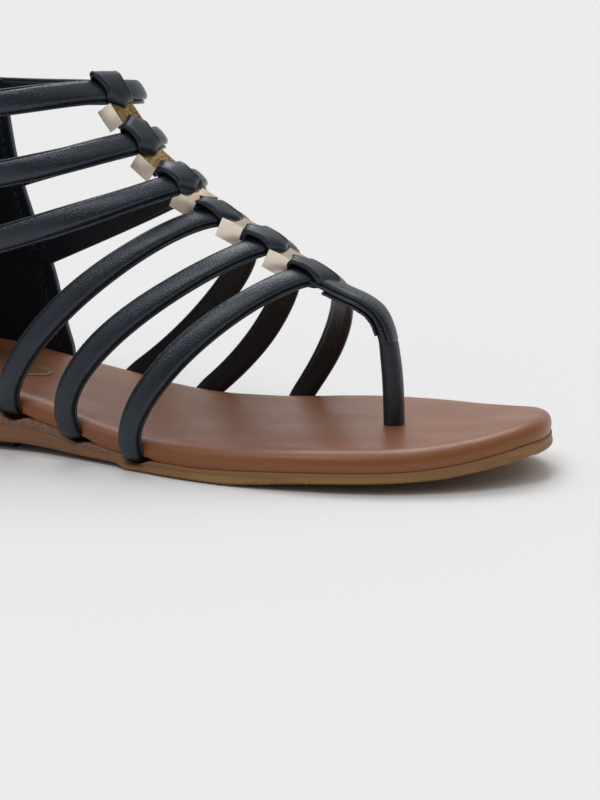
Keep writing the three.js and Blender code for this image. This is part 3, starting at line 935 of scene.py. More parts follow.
@dataclass(frozen=True)
class Outsole:
    """Moulded outsole with a gritty waist wall, a forefoot tread and a thin heel lift."""

    columns: int = 1200
    proud: float = 0.4
    tread_pitch: float = 1.9
    tread_depth: float = 0.35
    lift_length: float = 88.0
    lift_thickness: float = 2.3
    lift_inset: float = 2.5
    lift_bevel: float = 0.35
    wall_steps: int = 12
    under_shares = (1.0, 0.75, 0.5, 0.25, 0.1, 0.0)  # of the way in, under the sole
    foot = ((1.0, 0.12), (0.45, 0.35), (0.1, 0.75))  # inset and level of the lower edge's rounding
    cover = (  # inset, share of the way in and share of the dip, on the top
        ((2.4, 0.0, 1.0), (6.5, 0.0, 1.0), (8.0, 0.0, 0.0), (8.0, 0.5, 0.0), (8.0, 1.0, 0.0))
    )
    brim = ((0.0, 0.6), (0.12, 0.3), (0.35, 0.1), (0.7, 0.0))  # inset and drop of the upper edge's

    def ledge(self, distance: float) -> float:
        """How far the outsole stands out past the footbed."""
        wide = GAP + COUNTER_WALL
        return blend(wide, self.proud, ease(distance, COUNTER_FRONT, COUNTER_FRONT + 18))

    @staticmethod
    def dip(distance: float, side: Side) -> float:
        """How far the top edge drops to let a strap's end in."""
        return 1.8 * max(bump(distance, foot - 0.6, 6.0) for foot in FEET[side])

    @staticmethod
    def flare(distance: float) -> float:
        """How far the tread's edge spreads past the wall above it."""
        return 1.5 * ease(distance, 124, 130) * (1 - ease(distance, 150, 190)) + 0.3

    def tread(self, distance: float) -> float:
        """Depth of the cross grooves under the forefoot."""
        wave = max(math.cos(2 * math.pi * distance / self.tread_pitch), -0.3)
        where = ease(distance, 130, 134)
        return self.tread_depth * where * (0.5 - 0.5 * wave)

    def under(self, distance: float) -> float:
        """Height of the underside."""
        return SOLE.underside.at(distance) + self.tread(distance)

    def rings(self) -> list[Ring]:
        """The outsole's levels, from the middle of its underside to the middle of its top."""
        rings = []
        for w in self.under_shares:
            rings.append(Ring(lambda x, s: 1.6 - self.ledge(x), lambda x, s: self.under(x), w))
        for inset, up in self.foot:
            rings.append(
                Ring(
                    lambda x, s, i=inset: i - self.ledge(x) - self.flare(x),
                    lambda x, s, u=up: self.under(x) + u,
                )
            )
        for k in range(1, self.wall_steps):
            t = k / self.wall_steps

            def out(x: float, s: Side, t: float = t) -> float:
                spread = self.flare(x) * (1 - ease(t, 0.0, 0.7))
                return -self.ledge(x) - spread

            def up(x: float, s: Side, t: float = t) -> float:
                top = SOLE.joint.at(x) - 0.75
                level = blend(SOLE.underside.at(x) + 0.75, top, t)
                return level - self.dip(x, s) * ease(t, 0.45, 1.0)

            rings.append(Ring(out, up))
        for inset, drop in self.brim:
            rings.append(
                Ring(
                    lambda x, s, i=inset: i - self.ledge(x),
                    lambda x, s, d=drop: SOLE.joint.at(x) - 0.05 - d - self.dip(x, s),
                )
            )
        for inset, w, part in self.cover:
            rings.append(
                Ring(inset, lambda x, s, k=part: SOLE.joint.at(x) - GAP - k * self.dip(x, s), w)
            )
        return rings

    def build(self) -> None:
        """Makes the outsole and its heel lift."""
        rings = self.rings()
        first = len(self.under_shares) + len(self.foot)
        wall = self.wall_steps - 1 + len(self.brim)
        steps = len(rings) - 1

        def tone(u: float, v: float) -> float:
            point, _ = SOLE.around(u % 1.0)
            share = (v * steps - first) / wall
            waist = 1 - ease(point.x, 118, 132)
            gritty = ease(share, 0.42, 0.56) * (1 - ease(share, 0.98, 1.0)) * waist
            return gritty - ease(share, 0.4, 0.75) * (1 - waist)

        piece = sole_piece("outsole", rings, self.columns, tone)
        set_in_frame(piece, SoleRubber("outsole_rubber_tan"), Slot.OUTSOLE, "outsole")
        self.build_lift()

    def build_lift(self) -> None:
        """Makes the heel lift: a thin plate cut off square at its breast, with softened edges."""
        rings = [
            Ring(self.lift_inset, lambda x, s: 0.0, 1.0),
            Ring(self.lift_inset, lambda x, s: 0.0),
            Ring(self.lift_inset, lambda x, s: self.lift_thickness),
            Ring(self.lift_inset, lambda x, s: self.lift_thickness, 1.0),
        ]
        piece = sole_piece("heel_lift", rings, 240)
        make_active(piece)
        bpy.ops.object.mode_set(mode="EDIT")
        bpy.ops.mesh.select_all(action="SELECT")
        bpy.ops.mesh.bisect(
            plane_co=placed(self.lift_length, 0, 0),
            plane_no=(1, 0, 0),
            use_fill=True,
            clear_outer=True,
        )
        bpy.ops.object.mode_set(mode="OBJECT")
        bevel_edges(piece, self.lift_bevel, 3, 1.0)
        make_active(piece)
        bpy.ops.object.shade_smooth_by_angle(angle=0.6)
        set_in_frame(piece, HardRubber("heel_rubber_brown"), Slot.HEEL_LIFT, "heel_lift")


# ---------------------------------------------------------------- straps


@dataclass(frozen=True)
class Crown:
    """Where a cross strap passes over the foot, and which way it runs there."""

    along: float
    across: float
    height: float
    sweep: float
    tilt: float
    lateral_reach: float
    medial_reach: float

    def point(self) -> Vector:
        """The crown's place in the frame."""
        return placed(self.along, self.across, self.height)


@dataclass(frozen=True)
class StrapEnd:
    """Where a strap ends and how it sets off; across and height are left out in the sole."""

    along: float
    across: float | None
    height: float | None
    lean: float
    flare: float
    rise: float


CROWNS = (
    Crown(109.1, -1.2, 107.1, 0.53, -0.09, 16.0, 21.9),
    Crown(118.7, -1.2, 92.8, 0.37, 0.04, 16.0, 20.0),
    Crown(131.9, -1.0, 81.3, 0.42, 0.09, 15.8, 21.0),
    Crown(143.8, 0.2, 71.5, 0.6, -0.13, 19.3, 25.4),
    Crown(159.5, -0.1, 64.5, 0.37, -0.01, 19.5, 23.5),
    Crown(173.9, -0.1, 56.2, 0.42, -0.12, 21.7, 21.9),
)
ENDS = {
    Side.LATERAL: (
        StrapEnd(60.5, 25.3, 100.5, 27.9, 2.7, 5.1),
        StrapEnd(64.5, 26.2, 79.4, 29.9, 2.8, 5.7),
        StrapEnd(70.5, 27.2, 59.5, 29.8, 2.8, 9.6),
        StrapEnd(89.3, None, None, -4.8, 4.9, 22.2),
        StrapEnd(111.4, None, None, -12.7, 5.4, 23.5),
        StrapEnd(133.0, None, None, -6.2, 5.2, 20.9),
    ),
    Side.MEDIAL: (
        StrapEnd(60.5, 22.9, 100.5, 35.5, 2.0, 1.1),
        StrapEnd(64.5, 24.2, 74.1, 34.2, 4.0, 12.1),
        StrapEnd(71.0, 24.8, 48.6, 32.0, 3.8, 15.3),
        StrapEnd(101.4, None, None, 22.7, 5.3, 16.5),
        StrapEnd(123.7, None, None, 23.3, 5.9, 18.8),
        StrapEnd(154.1, None, None, 12.4, 5.4, 21.7),
    ),
}
STRAP_WIDTH = 8.2
STRAP_THICKNESS = 3.4

# Right half of a padded strap's section from the middle of its back to the middle of its front:
# a lining strip, the turned edge of the base band, the groove beside the padding, the padding.
STRAP_HALF = (
    ((0.0, -1.7), (1.6, -1.7), (2.6, -1.68), (2.85, -1.58), (3.0, -1.43), (3.3, -1.42))
    + ((3.7, -1.4), (3.95, -1.27), (4.1, -1.0), (4.1, -0.7), (3.97, -0.45), (3.7, -0.36))
    + ((3.42, -0.4), (3.22, -0.52), (3.12, -0.45), (3.16, -0.2), (3.28, 0.15), (3.26, 0.6))
    + ((3.05, 1.02), (2.62, 1.32), (2.0, 1.52), (1.1, 1.66), (0.0, 1.7))
)
# Tone of each point of the section: the turned edge lightened as rubbed raw edge with painted
# sheen, painted shade in the fold under it and in the groove, the lining strip darkened.
STRAP_TONES = (
    (-0.5, -0.5, -0.5, -0.4, -0.9, -0.2, 0.3, 0.8, 0.5, 0.2, 0.0, -0.1, -0.3, -1.0)
    + (-1.0, -0.2, 0.0, 0.0, 0.0, 0.0, 0.0, 0.0, 0.0)
)


class Bezier:
    """Cubic curve from four control points."""

    def __init__(self, *points: Vector) -> None:
        self.points = points

    def at(self, t: float) -> Vector:
        """Point of the curve."""
        a, b, c, d = self.points
        s = 1 - t
        return a * s**3 + b * (3 * s * s * t) + c * (3 * s * t * t) + d * t**3

    def direction(self, t: float) -> Vector:
        """Unit tangent of the curve."""
        a, b, c, d = self.points
        s = 1 - t
        return ((b - a) * (s * s) + (c - b) * (2 * s * t) + (d - c) * (t * t)).normalized()


def crown_normal(index: int) -> Vector:
    """Direction out of the foot at a crown: square to the line of crowns."""
    before = CROWNS[max(index - 1, 0)]
    after = CROWNS[min(index + 1, len(CROWNS) - 1)]
    return Vector((before.height - after.height, 0, after.along - before.along)).normalized()


@dataclass(frozen=True)
class CrossStraps:
    """Six padded straps over the foot: three from the heel counter, three from the sole."""

    steps: int = 48  # stations on each half
    rows: int = 150
    bend_start: float = 0.075  # share of a half below which the strap turns into the sole
    bend_steps: int = 16
    taper: float = 0.11  # how much narrower a strap is at the sole
    pressed: float = 0.42  # thickness left between footbed and outsole
    setback: float = 0.8  # how far a strap's foot in the sole lies towards the heel

    def half(self, index: int, side: Side) -> Bezier:
        """One half of a strap as a curve from its end to its crown."""
        crown, end = CROWNS[index], ENDS[side][index]
        if end.height is None:
            clear = STRAP_THICKNESS / 2 + 1.3 * GAP
            across = SOLE.edge(end.along, side) + side.value * clear
            height = SOLE.joint.at(end.along) + 1.3
        else:
            across, height = side.value * end.across, end.height
        foot = placed(end.along, across, height)
        reach = crown.lateral_reach if side is Side.LATERAL else crown.medial_reach
        lift = Vector((end.lean, side.value * end.flare, end.rise)) * MM
        run = Vector((crown.sweep, 1, crown.tilt)) * (side.value * reach * MM)
        return Bezier(foot, foot + lift, crown.point() + run, crown.point())

    def half_stations(self, index: int, side: Side) -> list[Station]:
        """Stations of one half, from its hidden end to the crown."""
        curve, end = self.half(index, side), ENDS[side][index]
        in_sole = end.height is None
        start = self.bend_start if in_sole else 0.0
        stations = []
        for k in range(self.steps + 1):
            t = blend(start, 1.0, k / self.steps)
            sideways = Vector((0, side.value, 0))
            facing = sideways.lerp(crown_normal(index), t * t * (3 - 2 * t))
            tangent = curve.direction(t) * -side.value
            outward = square_to(facing, tangent)
            across = tangent.cross(outward)
            press = 1.0 if in_sole else blend(0.62, 1.0, ease(k / self.steps, 0.0, 0.14))
            narrow = 1 - self.taper * (1 - ease(t, 0.05, 0.4)) if in_sole else 1.0
            back = self.setback * (1 - ease(t, 0.0, 0.35)) if in_sole else 0.0
            centre = curve.at(t) - Vector((back * MM, 0, 0))
            stations.append(Station(centre, across, outward, narrow, press))
        first = stations[0]
        if in_sole:
            tail = self.sole_tail(curve, end, side, first)
        else:
            tail = self.counter_tail(curve, side, first)
        return tail + stations

    def sole_tail(self, curve: Bezier, end: StrapEnd, side: Side, first: Station) -> list[Station]:
        """Stations that bend in between footbed and outsole."""
        joint = SOLE.joint.at(end.along)
        edge = SOLE.edge(end.along, side)
        down = -curve.direction(self.bend_start)
        sunk = blend(-0.1, 0.75, ease(end.along, 90, 132))
        along = end.along - self.setback
        mouth = placed(along, edge - side.value * 2.0, joint - sunk)
        deep = placed(along, edge - side.value * 6.5, joint - sunk * 0.8)
        knee = mouth + Vector((0, side.value * 3.4, -0.35)) * MM
        bend = Bezier(first.centre, first.centre + down * (2.6 * MM), knee, mouth)
        stations = []
        for k in range(1, self.bend_steps + 1):
            t = k / self.bend_steps
            tangent = bend.direction(t)
            across = square_to(first.across, tangent)
            outward = across.cross(tangent) * side.value
            press = blend(1.0, self.pressed, ease(t, 0.3, 1.0))
            stations.append(Station(bend.at(t), across, outward, first.width, press))
        stations.append(Station(deep, across, outward, first.width * 0.95, self.pressed))
        return list(reversed(stations))

    def counter_tail(self, curve: Bezier, side: Side, first: Station) -> list[Station]:
        """Stations that run in between the counter's two layers."""
        back = -curve.direction(0.0)
        stations = []
        for k in (3, 2, 1):
            shift = back * (2.4 * k * MM) + Vector((0, side.value * 0.5 * k * MM, 0))
            press = blend(first.thickness, 0.35, k / 3)
            stations.append(Station(first.centre + shift, first.across, first.outward, 1.0, press))
        return stations

    def ribbon(self, index: int) -> Ribbon:
        """A whole strap, from its lateral end over the crown to its medial end."""
        lateral = self.half_stations(index, Side.LATERAL)
        medial = self.half_stations(index, Side.MEDIAL)
        return Ribbon(lateral + list(reversed(medial))[1:])

    def build(self) -> None:
        """Makes the six straps."""
        section, tones = mirrored_section(STRAP_HALF), mirrored_tones(STRAP_TONES)
        for index in range(len(CROWNS)):
            piece = self.ribbon(index).sweep(f"cross_strap_{index + 1}", section, self.rows, tones)
            set_in_frame(piece, STRAP_COVER, Slot.STRAP, "upper", padded=0.9)


# ---------------------------------------------------------------- centre strap


@dataclass(frozen=True)
class StudPlace:
    """Place and axes of a stud between two crowns; across runs with the cross straps."""

    centre: Vector
    direction: Vector
    across: Vector
    outward: Vector
    behind: float  # distance along from the crown behind to the stud's middle
    ahead: float
    line: Vector  # unturned axes, along from crown to crown and out of the foot
    facing: Vector
    lift: float

    @classmethod
    def between(cls, index: int) -> "StudPlace":
        """The place between a crown and the next one."""
        start, end = CROWNS[index], CROWNS[index + 1]
        line = end.point() - start.point()
        direction = line.normalized()
        sweep, tilt = (start.sweep + end.sweep) / 2, (start.tilt + end.tilt) / 2
        across = -Vector((sweep, 1, tilt)).normalized()
        outward = across.cross(direction).normalized()
        setback, lift, pitch, roll, yaw = STUD_PLACES[index]
        span = line.length / MM
        behind = span / 2 - setback
        centre = start.point() + (direction * behind + outward * lift) * MM
        turn = Matrix.Rotation(math.radians(pitch), 3, across)
        turn = Matrix.Rotation(math.radians(roll), 3, turn @ direction) @ turn
        turn = Matrix.Rotation(math.radians(yaw), 3, turn @ outward) @ turn
        turned = (turn @ direction, turn @ across, turn @ outward)
        return cls(centre, *turned, behind, span - behind, direction, outward, lift)


# Each stud's own place. Columns: setback towards the ankle and lift out of the foot in
# millimetres, then pitch, roll and yaw in degrees about the stud's across, along and outward axes.
STUD_PLACES = (
    (0.85, 0.0, 1.0, -4.0, 3.5),
    (1.4, -1.0, 4.0, 2.5, 0.5),
    (1.55, -0.3, 12.0, 4.0, 4.0),
    (0.85, 1.2, 0.0, -3.5, 3.5),
    (0.9, 0.7, 5.0, -2.5, 5.0),
)


@dataclass(frozen=True)
class Stud:
    """Bow-tie clamp between two loops: two wide ends joined at a pinched waist."""

    half_width: float = 4.5
    half_length: float = 3.62
    pinch: float = 0.85
    ridge: float = 0.6
    valley: float = 0.8
    depth: float = 5.6
    shift: float = 0.6
    columns: int = 16
    bevel: float = 0.36
    tints: tuple[float, ...] = (0.95, 0.9, 0.12, 0.05, 0.05)

    def half_at(self, a: float) -> float:
        """Half length of the stud at a share of the way from its waist to an end."""
        return blend(self.pinch, self.half_length, min(abs(a), 1.0) ** 0.72)

    def notch(self, across: float) -> float:
        """Half length of the stud at a distance across the centre strap."""
        return self.half_at((across - self.shift) / self.half_width)

    def build(self, index: int) -> None:
        """Makes one stud.

        Args:
            index: Number of the crown behind it.
        """
        spot = StudPlace.between(index)
        deselect_all()
        bpy.ops.mesh.primitive_cube_add(size=2.0)
        piece = bpy.context.object
        piece.name = f"stud_shell_{index + 1}"
        bpy.ops.object.mode_set(mode="EDIT")
        for k in range(1, self.columns):
            bpy.ops.mesh.select_all(action="SELECT")
            cut = 2 * k / self.columns - 1
            bpy.ops.mesh.bisect(plane_co=(cut, 0, 0), plane_no=(1, 0, 0))
        bpy.ops.object.mode_set(mode="OBJECT")
        self.hollow(piece)
        self.form(piece, spot)
        bevel_edges(piece, self.bevel, 3, 0.6, harden_normals=True)
        make_active(piece)
        bpy.ops.object.shade_smooth_by_angle(angle=0.4)
        self.mark_faces(piece, spot)
        plating = PaleGold(f"pale_gold_{index + 1}", self.tints[index])
        set_in_frame(piece, plating, Slot.STUD, f"stud_{index + 1}")

    def hollow(self, piece: bpy.types.Object) -> None:
        """Opens the underside of a stud's blank so that walls and a plate are left."""
        mesh = piece.data
        for vertex in mesh.vertices:
            vertex.select = False
        for edge in mesh.edges:
            edge.select = False
        for polygon in mesh.polygons:
            polygon.select = polygon.normal.z < -0.9
        bpy.ops.object.mode_set(mode="EDIT")
        bpy.ops.mesh.select_mode(type="FACE")
        bpy.ops.mesh.inset(thickness=0.16, depth=0.0)
        bpy.ops.mesh.extrude_region_move(TRANSFORM_OT_translate={"value": (0, 0, 1.5)})
        bpy.ops.object.mode_set(mode="OBJECT")

    def form(self, piece: bpy.types.Object, spot: StudPlace) -> None:
        """Moves a blank's vertices, from a cube of half side 1, to the stud's shape and place."""
        for vertex in piece.data.vertices:
            a, s, h = vertex.co
            top = blend(self.valley, self.ridge, abs(a))
            offset = (
                spot.across * (a * self.half_width + self.shift)
                + spot.direction * (s * self.half_at(a))
                + spot.outward * blend(-self.depth, top, (h + 1) / 2)
            )
            vertex.co = spot.centre + offset * MM

    @staticmethod
    def mark_faces(piece: bpy.types.Object, spot: StudPlace) -> None:
        """Marks the top faces with tone 1 and the edges between faces with tone -1."""
        values = [-1.0] * len(piece.data.vertices)
        for polygon in piece.data.polygons:
            if polygon.area < 0.3 * MM * MM:
                continue
            above = (polygon.center - spot.centre).dot(spot.outward) > 0.3 * MM
            value = 1.0 if above and polygon.normal.dot(spot.outward) > 0.9 else 0.0
            for k in polygon.vertices:
                values[k] = value
        attribute = piece.data.attributes.new("tone", "FLOAT", "POINT")
        attribute.data.foreach_set("value", values)


@dataclass(frozen=True)
class CentreStrap:
    """Centre strap: a loop round each cross strap, necks under the studs, and the toe strap."""

    wall: float = 1.9
    back_wall: float = 1.4
    outer_edge: float = 5.3  # from the crown line to the band's outer edge
    inner_edge: float = 4.0
    narrowing: float = 1.0  # how far the inner edge comes in on top of a cross strap
    bulge: float = 0.4  # how far the outer edge swells in front of a cross strap
    first_swell: float = 1.0  # how far the first loop's outer edge swells towards the ankle
    free_span: float = 9.0  # span of a loop's end that has no stud
    fullness: float = 2.2  # roundness of the loops' way round: 2 is an ellipse
    ring_steps: int = 96
    stud: Stud = Stud()

    # Band across: distance in from its edge, and level from the strap's face (0) to the top (1).
    edge_profile = (
        ((0.6, 0.0), (0.15, 0.12), (0.0, 0.32), (0.04, 0.56), (0.2, 0.77), (0.45, 0.92))
        + ((0.75, 1.0), (1.0, 1.0), (1.2, 0.965), (1.45, 0.945), (1.8, 0.945), (2.5, 0.955))
        + ((3.3, 0.965),)
    )
    # Tone of each point of the edge profile: painted shade down the band's edge wall, and a painted
    # highlight along the ridge above it.
    edge_tones = (-0.6, -0.5, -0.4, -0.3, -0.1, 0.1, 0.3, 0.2, 0.0, 0.0, 0.0, 0.0, 0.0)

    # Line of the toe strap and post: distance, across, height, width and thickness.
    path = (
        (173.0, 0.0, 56.6, 10.4, 3.2),
        (178.0, 0.2, 54.2, 10.4, 3.2),
        (184.0, 0.5, 51.8, 10.6, 3.2),
        (190.0, 0.6, 49.6, 10.6, 3.3),
        (194.4, 0.7, 46.6, 10.0, 3.7),
        (197.0, 0.7, 41.6, 8.6, 4.6),
        (198.5, 0.7, 34.0, 7.2, 5.8),
        (199.7, 0.6, 24.0, 7.0, 6.2),
        (200.5, 0.5, 7.6, 7.0, 6.2),
    )

    def band(self) -> list[tuple[float, float, float, float]]:
        """Closed profile of the band: edge sign with distance in, level and tone."""
        outer = [(1.0, d, f, t) for (d, f), t in zip(self.edge_profile, self.edge_tones)]
        middle = [(0.0, 0.0, 0.97, 0.0)]
        inner = [(-1.0, d, f, t) for (d, f), t in zip(self.edge_profile, self.edge_tones)]
        below = [(-1.0, 1.5, -0.25, 0.0), (0.0, 0.0, -0.25, 0.0), (1.0, 1.5, -0.25, 0.0)]
        return outer + middle + list(reversed(inner)) + below

    def loop_place(self, index: int) -> Place:
        """Shape of the loop round one cross strap."""
        curve = CrossStraps().half(index, Side.LATERAL)
        centre = CROWNS[index].point()
        to_medial = curve.direction(1.0)
        outward = square_to(crown_normal(index), to_medial)
        strap_across = to_medial.cross(outward)
        lateral = -to_medial
        toe = StudPlace.between(index) if index < len(CROWNS) - 1 else None
        heel = StudPlace.between(index - 1) if index > 0 else None
        ahead = toe.line if toe else (placed(*self.path[2][:3]) - centre).normalized()
        behind = -heel.line if heel else -ahead
        mean = (ahead - behind).normalized()
        band = self.band()
        count = len(band)

        def extent(direction: Vector) -> float:
            return STRAP_WIDTH / 2 / max(abs(direction.dot(strap_across)), 0.6)

        def place(u: float, v: float) -> Vector:
            sign, inset, level, _ = band[round(u * count) % count]
            angle = 2 * math.pi * v
            c, s = math.cos(angle), math.sin(angle)
            stud_place = toe if c >= 0 else heel
            way = ahead if c >= 0 else behind
            hump = 1 - ease(abs(c), 0.15, 0.95)
            outer = self.outer_edge - 0.6 * ease(-s, 0.0, 0.8)
            inner = self.inner_edge - self.narrowing * hump
            outer += self.bulge * bump(v, 0.11, 0.13)
            if index == 0:
                outer += self.first_swell * bump(v, 0.38, 0.2)
            outer_side = outer - inset
            inner_side = -inner + inset
            a = outer_side if sign > 0 else inner_side if sign < 0 else (outer - inner) / 2
            strap_reach = extent(way)
            if stud_place:
                half_span = stud_place.behind if c >= 0 else stud_place.ahead
                full = half_span - self.stud.notch(a) + 0.1
            else:
                full, half_span = strap_reach + self.wall, self.free_span
            wall = self.wall if s >= 0 else self.back_wall
            reach = blend(strap_reach, full, level)
            rise = STRAP_THICKNESS / 2 + wall * level
            power = 2 / self.fullness
            along = abs(c) ** power * reach
            height = math.copysign(abs(s) ** power * rise, s)
            k = ease(along, 0.0, half_span)
            direction = mean * (1 - k) * math.copysign(1, c) + way * k
            out = outward.lerp(stud_place.facing, k).normalized() if stud_place else outward
            height += stud_place.lift * k * k if stud_place else 0.0
            return centre + (direction * along + lateral * a + out * height) * MM

        return place

    def build_loop(self, index: int) -> None:
        """Makes the loop round one cross strap."""
        band = self.band()
        count = len(band)

        def tone(u: float, _: float) -> float:
            return band[round(u * count) % count][3]

        place = self.loop_place(index)
        piece = warped_grid(f"loop_{index + 1}", count, self.ring_steps, place, tone)
        set_in_frame(piece, LOOP_COVER, Slot.STRAP, "upper", padded=0.9)

    def build_neck(self, index: int) -> None:
        """Makes the neck of the centre strap under one stud."""
        spot = StudPlace.between(index)
        half = (
            ((0.0, -1.3), (2.0, -1.3), (2.9, -1.15), (3.2, -0.6), (3.2, 0.1), (3.0, 0.6))
            + ((2.4, 0.95), (1.4, 1.2), (0.0, 1.3))
        )
        stations = []
        for k in range(9):
            s = blend(-3.6, 3.6, k / 8)
            waist = 1 - 0.25 * bump(s, 0.0, 3.6)
            centre = spot.centre + (spot.direction * s - spot.outward * 2.6) * MM
            centre += spot.across * (self.stud.shift * 0.5 * MM)
            stations.append(Station(centre, spot.across, spot.outward, waist, 1.0))
        piece = Ribbon(stations).sweep(f"neck_{index + 1}", mirrored_section(half), 16)
        set_in_frame(piece, LOOP_COVER, Slot.STRAP, "upper")

    def path_ribbon(self, first: float, last: float, sink: float = 0.0) -> Ribbon:
        """Stations along the toe strap's path.

        Args:
            first: Where to start, in steps of the path's rows.
            last: Where to end.
            sink: Millimetres by which they lie inside the path.

        Returns:
            The ribbon, with width and thickness in millimetres for a section of unit size.
        """
        rows = self.path
        steps = 40
        stations = []

        def at(t: float) -> list[float]:
            i = min(int(t), len(rows) - 2)
            picked = [rows[min(max(i + k, 0), len(rows) - 1)] for k in (-1, 0, 1, 2)]
            return [hermite(b, c, (c - a) / 2, (d - b) / 2, t - i) for a, b, c, d in zip(*picked)]

        for k in range(steps + 1):
            t = blend(first, last, k / steps)
            here = at(t)
            ahead, behind = at(min(t + 0.05, len(rows) - 1.0)), at(max(t - 0.05, 0.0))
            tangent = (placed(*ahead[:3]) - placed(*behind[:3])).normalized()
            across = square_to(Vector((0, -1, 0)), tangent)
            outward = across.cross(tangent)
            centre = placed(*here[:3]) - outward * (sink * MM)
            stations.append(Station(centre, across, outward, here[3] / 8.2, here[4] / 3.4))
        return Ribbon(stations)

    def build_toe_strap(self) -> None:
        """Makes the toe strap with its stitches, its backing and the toe post."""
        section, tones = mirrored_section(STRAP_HALF), mirrored_tones(STRAP_TONES)
        strap = self.path_ribbon(0.2, 5.5)
        for station in strap.stations:
            spare = station.thickness - 0.95
            if spare > 0:
                station.centre += station.outward * (spare * 1.7 * MM)
                station.thickness = 0.95
        last = strap.stations[-1]
        for k, share in ((1, 0.8), (2, 0.5), (3, 0.15)):
            centre = last.centre + last.outward.cross(last.across) * (0.3 * k * MM)
            width = last.width * (0.8 + 0.2 * share)
            thickness = last.thickness * (0.5 + 0.5 * share)
            strap.stations.append(Station(centre, last.across, last.outward, width, thickness))
        piece = Ribbon(strap.stations).sweep("toe_strap", section, 90, tones)
        set_in_frame(piece, LOOP_COVER, Slot.STRAP, "upper", padded=0.9)
        self.build_backing()
        self.build_toe_stitches()
        self.build_post()

    def build_backing(self) -> None:
        """Makes the raw-edged backing under the toe strap, which ends in a tab behind the post."""
        half = (
            ((0.0, -0.45), (3.6, -0.45), (4.3, -0.3), (4.4, 0.0), (4.3, 0.3), (3.6, 0.45))
            + ((0.0, 0.45),)
        )
        ribbon = self.path_ribbon(1.2, 5.15, sink=2.0)
        for k, station in enumerate(ribbon.stations):
            station.thickness = 1.0
            station.width *= 1.0 + 0.025 * math.sin(k * 1.9) + 0.02 * math.sin(k * 0.7)
        # Tone: the raw edge lightened, partly painted sheen; the faces a little darker.
        tones = (-0.3, -0.3, 0.3, 0.6, 0.3, -0.3, -0.3)
        piece = ribbon.sweep("toe_strap_backing", mirrored_section(half), 90, mirrored_tones(tones))
        set_in_frame(piece, POST_COVER, Slot.STRAP, "upper")

    def build_toe_stitches(self) -> None:
        """Makes the row of stitches that holds the backing, near the outer edge."""
        ribbon = self.path_ribbon(1.7, 5.25)
        line = []
        for k in range(121):
            here = ribbon.at(k / 120)
            line.append(
                here.centre
                + here.across * (1.6 * here.width * MM)
                + here.outward * ((1.52 * here.thickness + 0.02) * MM)
            )
        piece = joined("toe_strap_stitches", stitch_row(line, 2.2, 1.5, 0.17))
        set_in_frame(piece, THREAD, Slot.STRAP, "upper")

    def build_post(self) -> None:
        """Makes the toe post: a leather tube that narrows into the footbed."""
        ribbon = self.path_ribbon(4.4, 8.0)
        for k, station in enumerate(ribbon.stations):
            share = 1 - ease(k / 40, 0.22, 0.33)
            station.centre -= station.outward * (1.3 * share * MM)
            station.thickness *= 1 - 0.4 * share
            station.width *= 1 - 0.22 * share
        half = []
        for k in range(13):
            angle = math.pi * (k / 12 - 0.5)
            w = math.cos(angle) ** 0.8 if k not in (0, 12) else 0.0
            half.append((w * 4.0, math.sin(angle) * 1.68))
        half[0] = (0.0, -1.55)
        piece = ribbon.sweep("toe_post", mirrored_section(half), 60)
        set_in_frame(piece, POST_COVER, Slot.STRAP, "upper")

    def build(self) -> None:
        """Makes the loops, necks, studs, toe strap and post."""
        for index in range(len(CROWNS)):
            self.build_loop(index)
        for index in range(len(CROWNS) - 1):
            self.build_neck(index)
            self.stud.build(index)
        self.build_toe_strap()


# ---------------------------------------------------------------- heel counter


